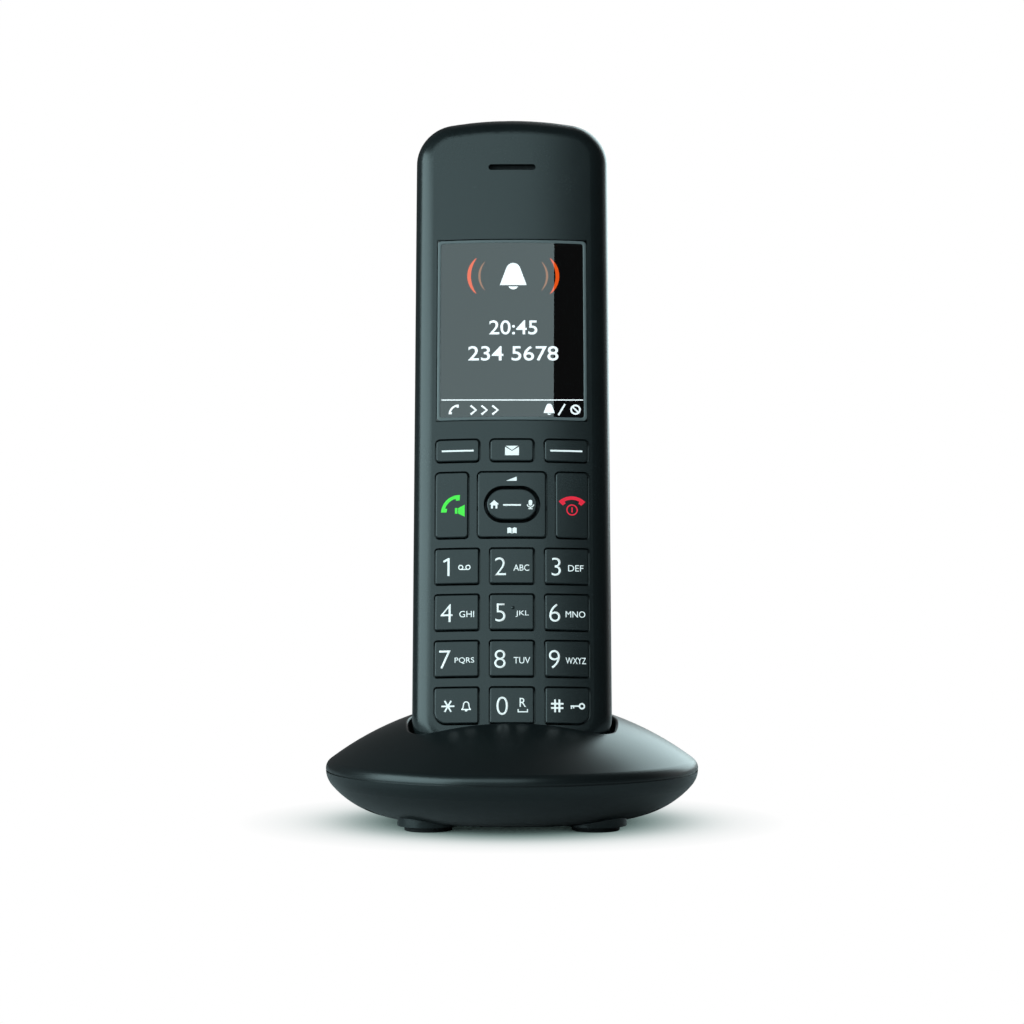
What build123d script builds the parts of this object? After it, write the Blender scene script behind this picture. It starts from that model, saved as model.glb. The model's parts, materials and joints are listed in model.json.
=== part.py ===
"""Cordless phone standing in its round charging cradle, as separate pieces in millimetres.

+Z is up, +X is to the right and the keypad faces -Y. The origin is on the table, under the
centre of the cradle. The handset is modelled upright in a frame of its own: its face lies in
the XZ plane with the bottom edge at Z = 0, and its depth runs along +Y. The face is crowned
across its width, so its middle stands a little in front of that plane. Each handset piece is
then leaned back into the cradle by one shared location.
"""
from build123d import *
import os
from collections import namedtuple
from math import asin, pi, tan

# Keys and face layout, from the bottom edge of the handset upwards
key_width = 10.2
key_height = 8.45
key_gap = 0.35
column_web = 2.0
row_web = 1.91
section_web = 2.0
side_margin = 5.05
chin_height = 8.0
soft_key_height = 5.34
nav_width = 16.05
nav_height = 15.9
pill_width = 11.8
pill_height = 7.5
pill_gap = 0.8
window_web = 4.45
window_inset = 0.3
window_height = 45.5
window_gap = 0.1
forehead_height = 32.2
earpiece_rise = 18.6
earpiece_width = 11.5
earpiece_height = 1.5
display_border = 1.2
display_driver = 5.0

# Rounding of the handset and its keys
crown_radius = 110.0
face_crown_radius = 140.0
corner_radius = 10.0
front_edge_radius = 5.0
rear_edge_radius = 9.0
back_arch = 2.6
key_corner = 0.5
control_corner = 0.9
key_end_corner = 2.8
key_edge = 0.3
key_proud = 0.4
pill_proud = 0.6
window_edge = 0.25

# Walls, fits and the stack of parts behind the face
window_thickness = 1.2
window_recess = 0.1
window_ledge = 0.7
ledge_width = 0.9
gasket_thickness = 0.6
gasket_width = 1.0
key_float = 0.2
key_flange = 0.7
key_overhang = 0.6
key_travel = 0.6
rocker_float = 0.6
plunger_diameter = 4.0
rocker_plunger_diameter = 2.4
mat_clearance = 0.5
mat_thickness = 0.5
mat_hole_gap = 0.4
mat_rim = 0.8
mat_edge_gap = 0.3
pivot_gap = 0.1
plunger_reach = 0.4
dome_clearance = 0.1
dome_height = 0.3
dome_diameter = 5.0
dome_taper = 60.0
board_thickness = 1.0
board_edge_gap = 1.0
board_hole_gap = 0.5
component_room = 2.7
tray_thickness = 1.6
seam_lead = 0.6
lip_height = 1.2
lip_thickness = 0.9
lip_gap = 0.1
seam_groove_width = 0.5
seam_groove_depth = 0.35
screw_diameter = 1.8
screw_gap = 0.1
screw_length = 6.0
screw_head_diameter = 3.4
screw_head_height = 1.3
boss_diameter = 3.2
screw_slot = 0.5

# Batteries and their cover
cell_diameter = 10.5
cell_length = 44.5
cell_button_diameter = 3.8
cell_button_height = 1.0
cell_gap = 0.4
contact_room = 2.2
contact_plate = 0.4
contact_tip_diameter = 2.4
contact_taper = 25.0
cell_edge = 0.4
bay_rib = 1.5
bay_rib_height = 7.0
bay_margin = 12.0
bay_offset = 7.0
cover_thickness = 1.6
cover_clearance = 1.5
cover_gap = 0.15
cover_skirt = 1.0
cover_ridge_count = 5
cover_ridge_pitch = 2.2
cover_ridge_width = 1.0
cover_ridge_length = 14.0
cover_ridge_height = 0.3

# Sound, radio and charging parts of the handset
earpiece_diameter = 13.0
earpiece_holes = 6
earpiece_hole_depth = 1.0
felt_thickness = 0.3
felt_margin = 1.2
microphone_diameter = 3.0
microphone_hole = 1.0
microphone_rise = 5.7
speaker_diameter = 20.0
speaker_thickness = 4.5
speaker_gap = 0.4
speaker_rim = 1.2
speaker_rise = 18.0
speaker_cone_depth = 2.0
speaker_cone_taper = 35.0
grille_hole = 1.5
grille_pitch = 2.8
shield_width = 24.0
shield_height = 20.0
shield_depth = 2.2
shield_wall = 0.3
antenna_width = 9.0
antenna_height = 6.0
antenna_rise = 2.0
antenna_sheet = 0.4
antenna_leg = 8.0
pad_width = 4.6
pad_depth = 3.2
pad_spacing = 18.0
pad_setback = 3.4
pad_gap = 0.2
pad_flange = 0.6
pad_thickness = 0.5
pad_strip_width = 3.0

# Cradle
rim_radius = 44.6
rim_band = 1.45
dome_rise = 15.3
shoulder_radius = 2.6
shoulder_share = 0.9
bowl_floor = 1.58
knuckle_radius = 5.6
knuckle_sweep = 40.8
bowl_radius = 21.66
cradle_wall = 2.0
cradle_groove = 0.4
foot_spread_x = 39.0
foot_spread_y = 40.0
foot_diameter = 11.2
foot_height = 1.2
foot_recess = 0.8
foot_gap = 0.2
foot_boss_wall = 1.4
foot_boss_height = 4.0
foot_edge = 0.4
lean_angle = 14.0
seat_setback = 24.13
seat_drop = 12.8
well_clearance = 0.6
well_side_room = 0.5
well_wall = 1.6
well_edge = 0.5
pin_diameter = 2.2
pin_gap = 0.1
pin_bore_gap = 0.15
pin_travel = 1.2
barrel_diameter = 3.6
barrel_length = 5.0
barrel_wall = 0.6
pin_edge = 0.4
charger_board_width = 40.0
charger_board_depth = 13.0
charger_board_thickness = 1.2
charger_post_diameter = 3.4
charger_post_spread = 32.0
cradle_screw_spread_x = 64.0
cradle_screw_spread_y = 28.0
cradle_screw_diameter = 2.6
cradle_screw_length = 9.0
cradle_screw_head = 5.0
cradle_screw_head_height = 1.8
cradle_boss_diameter = 6.4
cradle_joint_drop = 3.0
cradle_seat_thickness = 3.0
socket_width = 9.0
socket_depth = 9.0
socket_height = 6.5
socket_wall = 1.2
socket_blade = 0.6
socket_blade_pitch = 2.6
socket_blade_length = 2.5
socket_setback = 14.0
cord_channel_width = 5.0
cord_channel_height = 3.6
cord_channel_wall = 1.4
fit_gap = 0.2

# Layout worked out from the sizes above
INTO = (0, 1, 0)
OUT = (0, -1, 0)
key_opening_width = key_width + 2 * key_gap
key_opening_height = key_height + 2 * key_gap
column_pitch = key_opening_width + column_web
row_pitch = key_opening_height + row_web
key_field_width = 2 * column_pitch + key_opening_width
handset_width = key_field_width + 2 * side_margin
face_half_width = handset_width / 2 - front_edge_radius
face_crown = face_crown_radius - (face_crown_radius**2 - face_half_width**2) ** 0.5
digit_top = chin_height + 3 * row_pitch + key_opening_height
nav_middle = digit_top + section_web + key_gap + nav_height / 2
soft_middle = nav_middle + nav_height / 2 + 2 * key_gap + section_web + soft_key_height / 2
soft_top = soft_middle + soft_key_height / 2 + key_gap
window_bottom = soft_top + window_web
window_middle = window_bottom + window_height / 2
window_top = window_bottom + window_height
window_width = key_field_width - 2 * window_inset
handset_length = window_top + forehead_height
earpiece_middle = window_top + earpiece_rise
talk_key_width = (key_field_width - nav_width) / 2 - column_web - 2 * key_gap

window_back = window_recess + window_thickness
wall = window_back + window_ledge
flange_front = wall + key_float
flange_back = flange_front + key_flange
rocker_flange_back = wall + rocker_float + key_flange
mat_front = max(flange_back + key_travel, rocker_flange_back) + mat_clearance
mat_back = mat_front + mat_thickness
plunger_end = mat_back + plunger_reach
dome_front = plunger_end + key_travel + dome_clearance
board_front = dome_front + dome_height
board_back = board_front + board_thickness
display_front = wall + gasket_thickness
tray_front = board_back + component_room
bay_floor = tray_front + tray_thickness
parting_depth = tray_front - seam_lead
cell_axis_depth = bay_floor + cell_gap + cell_diameter / 2
handset_depth = cell_axis_depth + cell_diameter / 2 + cover_clearance + cover_thickness
cover_edge_depth = handset_depth - rear_edge_radius - cover_skirt

boss_height = soft_top + (window_web + key_overhang) / 2
bay_length = cell_length + 2 * contact_room
bay_middle = boss_height + bay_offset - bay_length / 2
bay_bottom = bay_middle - bay_length / 2
bay_width = 2 * cell_diameter + 3 * cell_gap
cover_bottom = bay_bottom - bay_rib - bay_margin
cover_top = bay_bottom + bay_length + bay_rib + bay_margin
boss_spread = key_field_width - boss_diameter
pad_middle = parting_depth + pad_setback
speaker_middle = cover_top + speaker_rise
speaker_back = handset_depth - wall - back_arch
speaker_front = speaker_back - speaker_thickness

knuckle_end = Vector(rim_radius - knuckle_radius, 0) + Vector(knuckle_radius, 0).rotate(Axis.Z, knuckle_sweep)
bowl_drop = bowl_radius * (1 - Vector(1, 0).rotate(Axis.Z, knuckle_sweep).Y)
rim_height = bowl_floor + bowl_drop + knuckle_end.Y
shoulder_height = rim_height + rim_band
dome_top = shoulder_height + dome_rise
dome_radius = (rim_radius**2 + dome_rise**2) / (2 * dome_rise)
shoulder_turn = pi / 2 - asin(rim_radius / dome_radius)
shoulder_limit = shoulder_share * rim_band / tan(shoulder_turn / 2)
shoulder_round = min(shoulder_radius, shoulder_limit)
seat_height = dome_top - seat_drop
lean = Location((0, -seat_setback, seat_height), (-lean_angle, 0, 0))
well_floor = -well_clearance - well_wall
charger_board_top = well_floor - barrel_length + charger_board_thickness
inner_floor = bowl_floor + cradle_wall
cradle_joint = rim_height - cradle_joint_drop
cradle_screw_seat = cradle_joint - cradle_seat_thickness
cradle_screw_bite = cradle_screw_length - cradle_seat_thickness + fit_gap
duct_width = cord_channel_width + 2 * cord_channel_wall

Key = namedtuple("Key", "name x z width height corner big_corner")

os.makedirs("parts", exist_ok=True)


def crown_rise(x, inset=0.0):
    """Height of the arched bottom edge above its lowest point, at a distance from the middle."""
    arc_radius = crown_radius - inset
    return arc_radius - (arc_radius**2 - x**2) ** 0.5


def face_plane(depth):
    """Plane parallel to the handset's face, a depth behind it, with local axes X and Z."""
    return Plane.XZ.offset(-depth)


def end_plane(height):
    """Plane square to the handset's length, at a height above its bottom edge."""
    return Plane.XY.offset(height)


def save(part, name):
    """Label a finished piece and write it to its own file."""
    part.label = name
    export_step(part, f"parts/{name}.step")


def save_leaned(part, name):
    """Lean a handset piece back into the cradle, then write it."""
    save(part.moved(lean), name)


def handset_outline(depth, inset, side_room=0.0):
    """Front outline of the handset, pulled in by an inset and widened by a side room."""
    half_width = handset_width / 2 - inset + side_room
    crown = crown_rise(half_width, inset)
    top = handset_length - inset
    with BuildSketch(face_plane(depth)) as outline:
        with BuildLine():
            ThreePointArc((-half_width, top - crown), (0, top), (half_width, top - crown))
            Line((half_width, top - crown), (half_width, inset + crown))
            ThreePointArc((half_width, inset + crown), (0, inset), (-half_width, inset + crown))
            Line((-half_width, inset + crown), (-half_width, top - crown))
        make_face()
        fillet(outline.vertices(), corner_radius - inset)
    return outline.sketch


def face_drum(inset):
    """Drum along the handset whose near side is the crowned face, pulled in by an inset."""
    with BuildPart() as drum:
        with BuildSketch(end_plane(-handset_length)):
            with Locations((0, face_crown_radius - face_crown)):
                Circle(face_crown_radius - inset)
        extrude(amount=3 * handset_length)
    return drum.part


def handset_body(inset, side_room=0.0, crowned=True):
    """Whole form of the handset, pulled in by an inset: crowned or flat face, rounded edges, arched back."""
    arch_end = handset_depth - inset - back_arch
    front = inset - face_crown if crowned else inset
    with BuildPart() as body:
        extrude(handset_outline(front, inset, side_room), amount=2 * handset_depth, dir=INTO)
        with BuildSketch(Plane.YZ):
            with BuildLine():
                ThreePointArc(
                    (arch_end, inset),
                    (handset_depth - inset, handset_length / 2),
                    (arch_end, handset_length - inset),
                )
                Polyline(
                    (arch_end, handset_length - inset),
                    (front, handset_length - inset),
                    (front, inset),
                    (arch_end, inset),
                )
            make_face()
        extrude(amount=handset_width, both=True, mode=Mode.INTERSECT)
        if crowned:
            add(face_drum(inset), mode=Mode.INTERSECT)
        fillet(body.faces().sort_by(Axis.Y)[0].edges(), front_edge_radius - inset)
        fillet(body.faces().sort_by(Axis.Y)[-1].edges(), rear_edge_radius - inset)
    return body.part


def handset_slab(bottom, top, front, back):
    """Block across the whole handset between two heights and two depths."""
    with BuildPart() as slab:
        with BuildSketch(face_plane(front)):
            with Locations((0, (bottom + top) / 2)):
                Rectangle(2 * handset_width, top - bottom)
        extrude(amount=back - front, dir=INTO)
    return slab.part


def seam_groove(front):
    """Ring cut into the outer edge of a shell at the parting line."""
    depth = seam_groove_width / 2
    with BuildPart() as groove:
        extrude(handset_outline(front, -seam_groove_depth), amount=depth, dir=INTO)
        extrude(handset_outline(front, seam_groove_depth), amount=depth, dir=INTO, mode=Mode.SUBTRACT)
    return groove.part


def key_face(key, depth, grow):
    """Outline of one key, grown on all sides, at a depth behind the face."""
    half_width = key.width / 2 + grow
    half_height = key.height / 2 + grow
    outer_corner = (key.x + key.big_corner * half_width, key.z - half_height)
    with BuildSketch(face_plane(depth)) as outline:
        with Locations((key.x, key.z)):
            Rectangle(2 * half_width, 2 * half_height)
        corners = outline.vertices().sort_by_distance(outer_corner)
        fillet(corners[1:] if key.big_corner else corners, key.corner + grow)
        if key.big_corner:
            fillet(outline.vertices().sort_by_distance(outer_corner)[0], key_end_corner + grow)
    return outline.sketch


def key_solid(key):
    """Key cap with a retaining flange behind the face and a plunger over its switch."""
    with BuildPart() as solid:
        extrude(key_face(key, flange_front, 0), amount=flange_front + face_crown + key_proud, dir=OUT)
        add(face_drum(-key_proud), mode=Mode.INTERSECT)
        fillet(solid.faces().sort_by(Axis.Y)[0].edges(), key_edge)
        extrude(key_face(key, flange_front, key_gap + key_overhang), amount=key_flange, dir=INTO)
        with BuildSketch(face_plane(flange_back)):
            with Locations((key.x, key.z)):
                Circle(plunger_diameter / 2)
        extrude(amount=plunger_end - flange_back, dir=INTO)
    return solid.part


pad_reach = (pad_spacing + pad_width) / 2
pad_face = crown_rise((pad_spacing - pin_diameter) / 2) - pin_gap
pad_seat = wall + crown_rise(pad_reach + pad_flange + pad_gap, wall)

# Key layout: four rows of digits, the talk keys beside the navigation pad, and the soft keys
digit_rows = (
    ("key_star", "key_0", "key_hash"),
    ("key_7", "key_8", "key_9"),
    ("key_4", "key_5", "key_6"),
    ("key_1", "key_2", "key_3"),
)
columns = (-column_pitch, 0.0, column_pitch)
keys = []
for row, names in enumerate(digit_rows):
    row_middle = chin_height + key_opening_height / 2 + row * row_pitch
    for side, (name, x) in enumerate(zip(names, columns), start=-1):
        outer_side = side if row == 0 else 0
        keys.append(Key(name, x, row_middle, key_width, key_height, key_corner, outer_side))
for name, x in zip(("soft_key_left", "message_key", "soft_key_right"), columns):
    keys.append(Key(name, x, soft_middle, key_width, soft_key_height, control_corner, 0))
talk_key_x = (key_field_width - talk_key_width) / 2 - key_gap
for name, side in (("call_key", -1), ("end_key", 1)):
    keys.append(Key(name, side * talk_key_x, nav_middle, talk_key_width, nav_height, control_corner, 0))
nav_key = Key("nav_rocker", 0.0, nav_middle, nav_width, nav_height, control_corner, 0)

outer_form = handset_body(0.0)
inner_form = handset_body(wall, crowned=False)

# Front shell with its openings, sealing lip and screw bosses
with BuildPart() as front_shell:
    add(outer_form)
    add(inner_form, mode=Mode.SUBTRACT)
    split(bisect_by=face_plane(parting_depth), keep=Keep.TOP)
    lip_outer = handset_outline(parting_depth, wall - lip_thickness)
    extrude(lip_outer, amount=lip_height, dir=INTO)
    extrude(handset_outline(parting_depth, wall), amount=lip_height, dir=INTO, mode=Mode.SUBTRACT)
    with BuildSketch(face_plane(wall)):
        with Locations((0, boss_height)):
            with GridLocations(boss_spread, 0, 2, 1):
                Circle(boss_diameter / 2)
    extrude(amount=tray_front - wall, dir=INTO)
    with BuildSketch(face_plane(tray_front)):
        with Locations((0, boss_height)):
            with GridLocations(boss_spread, 0, 2, 1):
                Circle((screw_diameter + screw_gap) / 2)
    extrude(amount=screw_length, dir=OUT, mode=Mode.SUBTRACT)
    with BuildSketch(face_plane(window_back)):
        with Locations((0, window_middle)):
            Rectangle(window_width + 2 * window_gap, window_height + 2 * window_gap)
    extrude(amount=window_back + face_crown, dir=OUT, mode=Mode.SUBTRACT)
    with BuildSketch(face_plane(wall)):
        with Locations((0, window_middle)):
            Rectangle(window_width - 2 * ledge_width, window_height - 2 * ledge_width)
        with Locations((0, earpiece_middle)):
            SlotOverall(earpiece_width, earpiece_height)
        with Locations((0, microphone_rise)):
            Circle(microphone_hole / 2)
    extrude(amount=wall + face_crown, dir=OUT, mode=Mode.SUBTRACT)
    for key in keys + [nav_key]:
        extrude(key_face(key, wall, key_gap), amount=wall + face_crown, dir=OUT, mode=Mode.SUBTRACT)
    add(seam_groove(parting_depth - seam_groove_width / 2), mode=Mode.SUBTRACT)
save_leaned(front_shell.part, "front_shell")

# Rear shell with its battery tray, speaker seat, grille and charging windows
seat_form = handset_body(cover_thickness + cover_gap)
tray_reach = parting_depth + lip_height + lip_gap
with BuildPart() as tray:
    extrude(handset_outline(tray_front, wall + lip_gap), amount=tray_thickness, dir=INTO)
    extrude(handset_outline(tray_reach, wall / 2), amount=bay_floor - tray_reach, dir=INTO)
    add(handset_slab(cover_bottom - wall, cover_top + wall, tray_front, bay_floor), mode=Mode.INTERSECT)

with BuildPart() as rear_ribs:
    add(handset_slab(cover_bottom - wall, cover_bottom + bay_rib, bay_floor, handset_depth))
    add(handset_slab(cover_top - bay_rib, cover_top + wall, bay_floor, handset_depth))
    with BuildSketch(face_plane(speaker_front)):
        with Locations((0, speaker_middle)):
            Circle(speaker_diameter / 2 + speaker_gap + speaker_rim)
            Circle(speaker_diameter / 2 + speaker_gap, mode=Mode.SUBTRACT)
    extrude(amount=handset_depth - speaker_front, dir=INTO)
    add(seat_form, mode=Mode.INTERSECT)

with BuildPart() as rear_shell:
    add(outer_form)
    add(inner_form, mode=Mode.SUBTRACT)
    split(bisect_by=face_plane(parting_depth), keep=Keep.BOTTOM)
    lip_room = handset_outline(parting_depth, wall - lip_thickness - lip_gap)
    extrude(lip_room, amount=lip_height + lip_gap, dir=INTO, mode=Mode.SUBTRACT)
    add(handset_slab(cover_bottom, cover_top, cover_edge_depth, 2 * handset_depth), mode=Mode.SUBTRACT)
    add(tray.part)
    add(rear_ribs.part)
    with BuildSketch(face_plane(bay_floor)):
        with Locations((0, bay_middle)):
            Rectangle(bay_width + 2 * bay_rib, bay_length + 2 * bay_rib)
            Rectangle(bay_width, bay_length, mode=Mode.SUBTRACT)
    extrude(amount=bay_rib_height, dir=INTO)
    with BuildSketch(face_plane(tray_front)):
        with Locations((0, boss_height)):
            with GridLocations(boss_spread, 0, 2, 1):
                Circle(screw_diameter / 2 + screw_gap)
    extrude(amount=tray_thickness, dir=INTO, mode=Mode.SUBTRACT)
    with BuildSketch(face_plane(speaker_back)):
        with Locations((0, speaker_middle)):
            Circle(grille_hole / 2)
            for ring in (1, 2):
                with PolarLocations(ring * grille_pitch, 6 * ring):
                    Circle(grille_hole / 2)
    extrude(amount=handset_depth, dir=INTO, mode=Mode.SUBTRACT)
    with BuildSketch(end_plane(0)):
        with Locations((0, pad_middle)):
            with GridLocations(pad_spacing, 0, 2, 1):
                Rectangle(pad_width + 2 * pad_gap, pad_depth + 2 * pad_gap)
    extrude(amount=pad_seat, mode=Mode.SUBTRACT)
    add(seam_groove(parting_depth), mode=Mode.SUBTRACT)
save_leaned(rear_shell.part, "rear_shell")

# Battery cover that lifts off the back, with ridges for the thumb
with BuildPart() as cover_ridges:
    with BuildSketch(face_plane(cell_axis_depth)):
        with Locations((0, cover_top - bay_margin)):
            with GridLocations(0, cover_ridge_pitch, 1, cover_ridge_count):
                SlotOverall(cover_ridge_length, cover_ridge_width)
    extrude(amount=handset_depth, dir=INTO)
    add(handset_body(-cover_ridge_height), mode=Mode.INTERSECT)

cover_low = cover_bottom + cover_gap
cover_high = cover_top - cover_gap
with BuildPart() as battery_cover:
    add(outer_form)
    add(cover_ridges.part)
    add(handset_body(cover_thickness), mode=Mode.SUBTRACT)
    cover_front = cover_edge_depth + cover_gap
    add(handset_slab(cover_low, cover_high, cover_front, 2 * handset_depth), mode=Mode.INTERSECT)
save_leaned(battery_cover.part, "battery_cover")

# Display: window, gasket and the panel on the board
with BuildPart() as display_window:
    with BuildSketch(face_plane(window_back)):
        with Locations((0, window_middle)):
            Rectangle(window_width, window_height)
    extrude(amount=window_back + face_crown, dir=OUT)
    add(face_drum(window_recess), mode=Mode.INTERSECT)
    fillet(display_window.faces().sort_by(Axis.Y)[0].edges(), window_edge)
save_leaned(display_window.part, "display_window")

with BuildPart() as display_gasket:
    with BuildSketch(face_plane(wall)):
        with Locations((0, window_middle)):
            Rectangle(window_width, window_height)
            Rectangle(window_width - 2 * gasket_width, window_height - 2 * gasket_width, mode=Mode.SUBTRACT)
    extrude(amount=gasket_thickness, dir=INTO)
save_leaned(display_gasket.part, "display_gasket")

with BuildPart() as display_module:
    with BuildSketch(face_plane(display_front)):
        with Locations((0, window_middle + display_driver / 2)):
            panel_width = window_width + 2 * display_border
            RectangleRounded(panel_width, window_height + display_driver, display_border / 2)
    extrude(amount=board_front - display_front, dir=INTO)
save_leaned(display_module.part, "display_module")

# Keys, each pressed straight in
for key in keys:
    save_leaned(key_solid(key), key.name)

# Navigation pad: a frame that rocks on two half-round ridges, and a pill pressed at its middle
pill_back = wall + rocker_float
rocker_throw = (nav_height + pill_height) / 4 + pill_gap / 2
rocker_reach = nav_width / 2 + key_gap + key_overhang
with BuildPart() as nav_rocker:
    extrude(key_face(nav_key, pill_back, 0), amount=pill_back + face_crown + key_proud, dir=OUT)
    add(face_drum(-key_proud), mode=Mode.INTERSECT)
    fillet(nav_rocker.faces().sort_by(Axis.Y)[0].edges(), key_edge)
    extrude(key_face(nav_key, pill_back, key_gap + key_overhang), amount=key_flange, dir=INTO)
    with BuildSketch(Plane.YZ):
        with Locations((pill_back, nav_middle)):
            Circle(rocker_float - pivot_gap)
    extrude(amount=rocker_reach, both=True)
    with BuildSketch(face_plane(rocker_flange_back)):
        with Locations((0, nav_middle)):
            with GridLocations(0, 2 * rocker_throw, 1, 2):
                Circle(rocker_plunger_diameter / 2)
    extrude(amount=plunger_end - rocker_flange_back, dir=INTO)
    with BuildSketch(face_plane(plunger_end)):
        with Locations((0, nav_middle)):
            SlotOverall(pill_width + 2 * pill_gap, pill_height + 2 * pill_gap)
    extrude(amount=plunger_end + face_crown + key_proud, dir=OUT, mode=Mode.SUBTRACT)
save_leaned(nav_rocker.part, "nav_rocker")

collar_front = mat_back + key_float / 2
with BuildPart() as nav_button:
    with BuildSketch(face_plane(pill_back)):
        with Locations((0, nav_middle)):
            SlotOverall(pill_width, pill_height)
    extrude(amount=pill_back + face_crown + pill_proud, dir=OUT)
    add(face_drum(-pill_proud), mode=Mode.INTERSECT)
    fillet(nav_button.faces().sort_by(Axis.Y)[0].edges(), key_edge)
    with BuildSketch(face_plane(pill_back)):
        with Locations((0, nav_middle)):
            Circle(plunger_diameter / 2)
    extrude(amount=plunger_end - pill_back, dir=INTO)
    with BuildSketch(face_plane(collar_front)):
        with Locations((0, nav_middle)):
            Circle(plunger_diameter / 2 + key_overhang)
    extrude(amount=plunger_end - collar_front, dir=INTO)
save_leaned(nav_button.part, "nav_button")

# Silicone mat around the plungers, standing on the board by its rim
mat_bottom = microphone_rise + microphone_diameter / 2 + mat_edge_gap
mat_top = boss_height - boss_diameter / 2 - mat_edge_gap
mat_width = key_field_width + 2 * key_overhang + 2 * mat_rim
rocker_points = [(0, nav_middle - rocker_throw), (0, nav_middle + rocker_throw)]
press_points = [(key.x, key.z) for key in keys] + [(0, nav_middle)]
with BuildPart() as keypad_mat:
    with BuildSketch(face_plane(mat_front)):
        with Locations((0, (mat_bottom + mat_top) / 2)):
            RectangleRounded(mat_width, mat_top - mat_bottom, mat_rim)
    extrude(amount=board_front - mat_front, dir=INTO)
    with BuildSketch(face_plane(mat_back)):
        with Locations((0, (mat_bottom + mat_top) / 2)):
            Rectangle(mat_width - 2 * mat_rim, mat_top - mat_bottom - 2 * mat_rim)
    extrude(amount=board_front - mat_back, dir=INTO, mode=Mode.SUBTRACT)
    with BuildSketch(face_plane(mat_front)):
        with Locations(*press_points):
            Circle(plunger_diameter / 2 + mat_hole_gap)
        with Locations(*rocker_points):
            Circle(rocker_plunger_diameter / 2 + mat_hole_gap)
    extrude(amount=mat_thickness, dir=INTO, mode=Mode.SUBTRACT)
save_leaned(keypad_mat.part, "keypad_mat")

# Circuit board, snap domes under the keys, shield and antenna
with BuildPart() as main_board:
    extrude(handset_outline(board_front, wall + board_edge_gap), amount=board_thickness, dir=INTO)
    with BuildSketch(face_plane(board_front)):
        with Locations((0, boss_height)):
            with GridLocations(boss_spread, 0, 2, 1):
                Circle(boss_diameter / 2 + board_hole_gap)
    extrude(amount=board_thickness, dir=INTO, mode=Mode.SUBTRACT)
save_leaned(main_board.part, "main_board")

with BuildPart() as snap_domes:
    with BuildSketch(face_plane(board_front)):
        with Locations(*press_points, *rocker_points):
            Circle(dome_diameter / 2)
    extrude(amount=dome_height, dir=OUT, taper=dome_taper)
save_leaned(snap_domes.part, "snap_domes")

with BuildPart() as rf_shield:
    with BuildSketch(face_plane(board_back)):
        with Locations((0, speaker_middle)):
            Rectangle(shield_width, shield_height)
    extrude(amount=shield_depth, dir=INTO)
    with BuildSketch(face_plane(board_back)):
        with Locations((0, speaker_middle)):
            Rectangle(shield_width - 2 * shield_wall, shield_height - 2 * shield_wall)
    extrude(amount=shield_depth - shield_wall, dir=INTO, mode=Mode.SUBTRACT)
save_leaned(rf_shield.part, "rf_shield")

with BuildPart() as antenna:
    with BuildSketch(end_plane(earpiece_middle - antenna_height / 2)):
        for side in (-1, 1):
            leg_x = side * antenna_leg
            plate_x = side * (antenna_leg + (antenna_width - antenna_sheet) / 2)
            with Locations((leg_x, board_back + antenna_rise / 2)):
                Rectangle(antenna_sheet, antenna_rise)
            with Locations((plate_x, board_back + antenna_rise - antenna_sheet / 2)):
                Rectangle(antenna_width, antenna_sheet)
    extrude(amount=antenna_height)
save_leaned(antenna.part, "antenna")

# Earpiece, its felt, the loudspeaker and the microphone
with BuildPart() as earpiece_felt:
    with BuildSketch(face_plane(wall)):
        with Locations((0, earpiece_middle)):
            SlotOverall(earpiece_width + 2 * felt_margin, earpiece_height + 2 * felt_margin)
    extrude(amount=felt_thickness, dir=INTO)
save_leaned(earpiece_felt.part, "earpiece_felt")

with BuildPart() as earpiece:
    with BuildSketch(face_plane(wall + felt_thickness)):
        with Locations((0, earpiece_middle)):
            Circle(earpiece_diameter / 2)
    extrude(amount=board_front - wall - felt_thickness, dir=INTO)
    with BuildSketch(face_plane(wall + felt_thickness)):
        with Locations((0, earpiece_middle)):
            with PolarLocations(earpiece_diameter / 4, earpiece_holes):
                Circle(microphone_hole / 2)
    extrude(amount=earpiece_hole_depth, dir=INTO, mode=Mode.SUBTRACT)
save_leaned(earpiece.part, "earpiece")

with BuildPart() as loudspeaker:
    with BuildSketch(face_plane(speaker_front)):
        with Locations((0, speaker_middle)):
            Circle(speaker_diameter / 2)
    extrude(amount=speaker_thickness, dir=INTO)
    with BuildSketch(face_plane(speaker_back)):
        with Locations((0, speaker_middle)):
            Circle(speaker_diameter / 2 - speaker_rim)
    extrude(amount=speaker_cone_depth, dir=OUT, taper=speaker_cone_taper, mode=Mode.SUBTRACT)
save_leaned(loudspeaker.part, "loudspeaker")

with BuildPart() as microphone:
    with BuildSketch(face_plane(wall + felt_thickness)):
        with Locations((0, microphone_rise)):
            Circle(microphone_diameter / 2)
    extrude(amount=board_front - wall - felt_thickness, dir=INTO)
save_leaned(microphone.part, "microphone")

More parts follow.
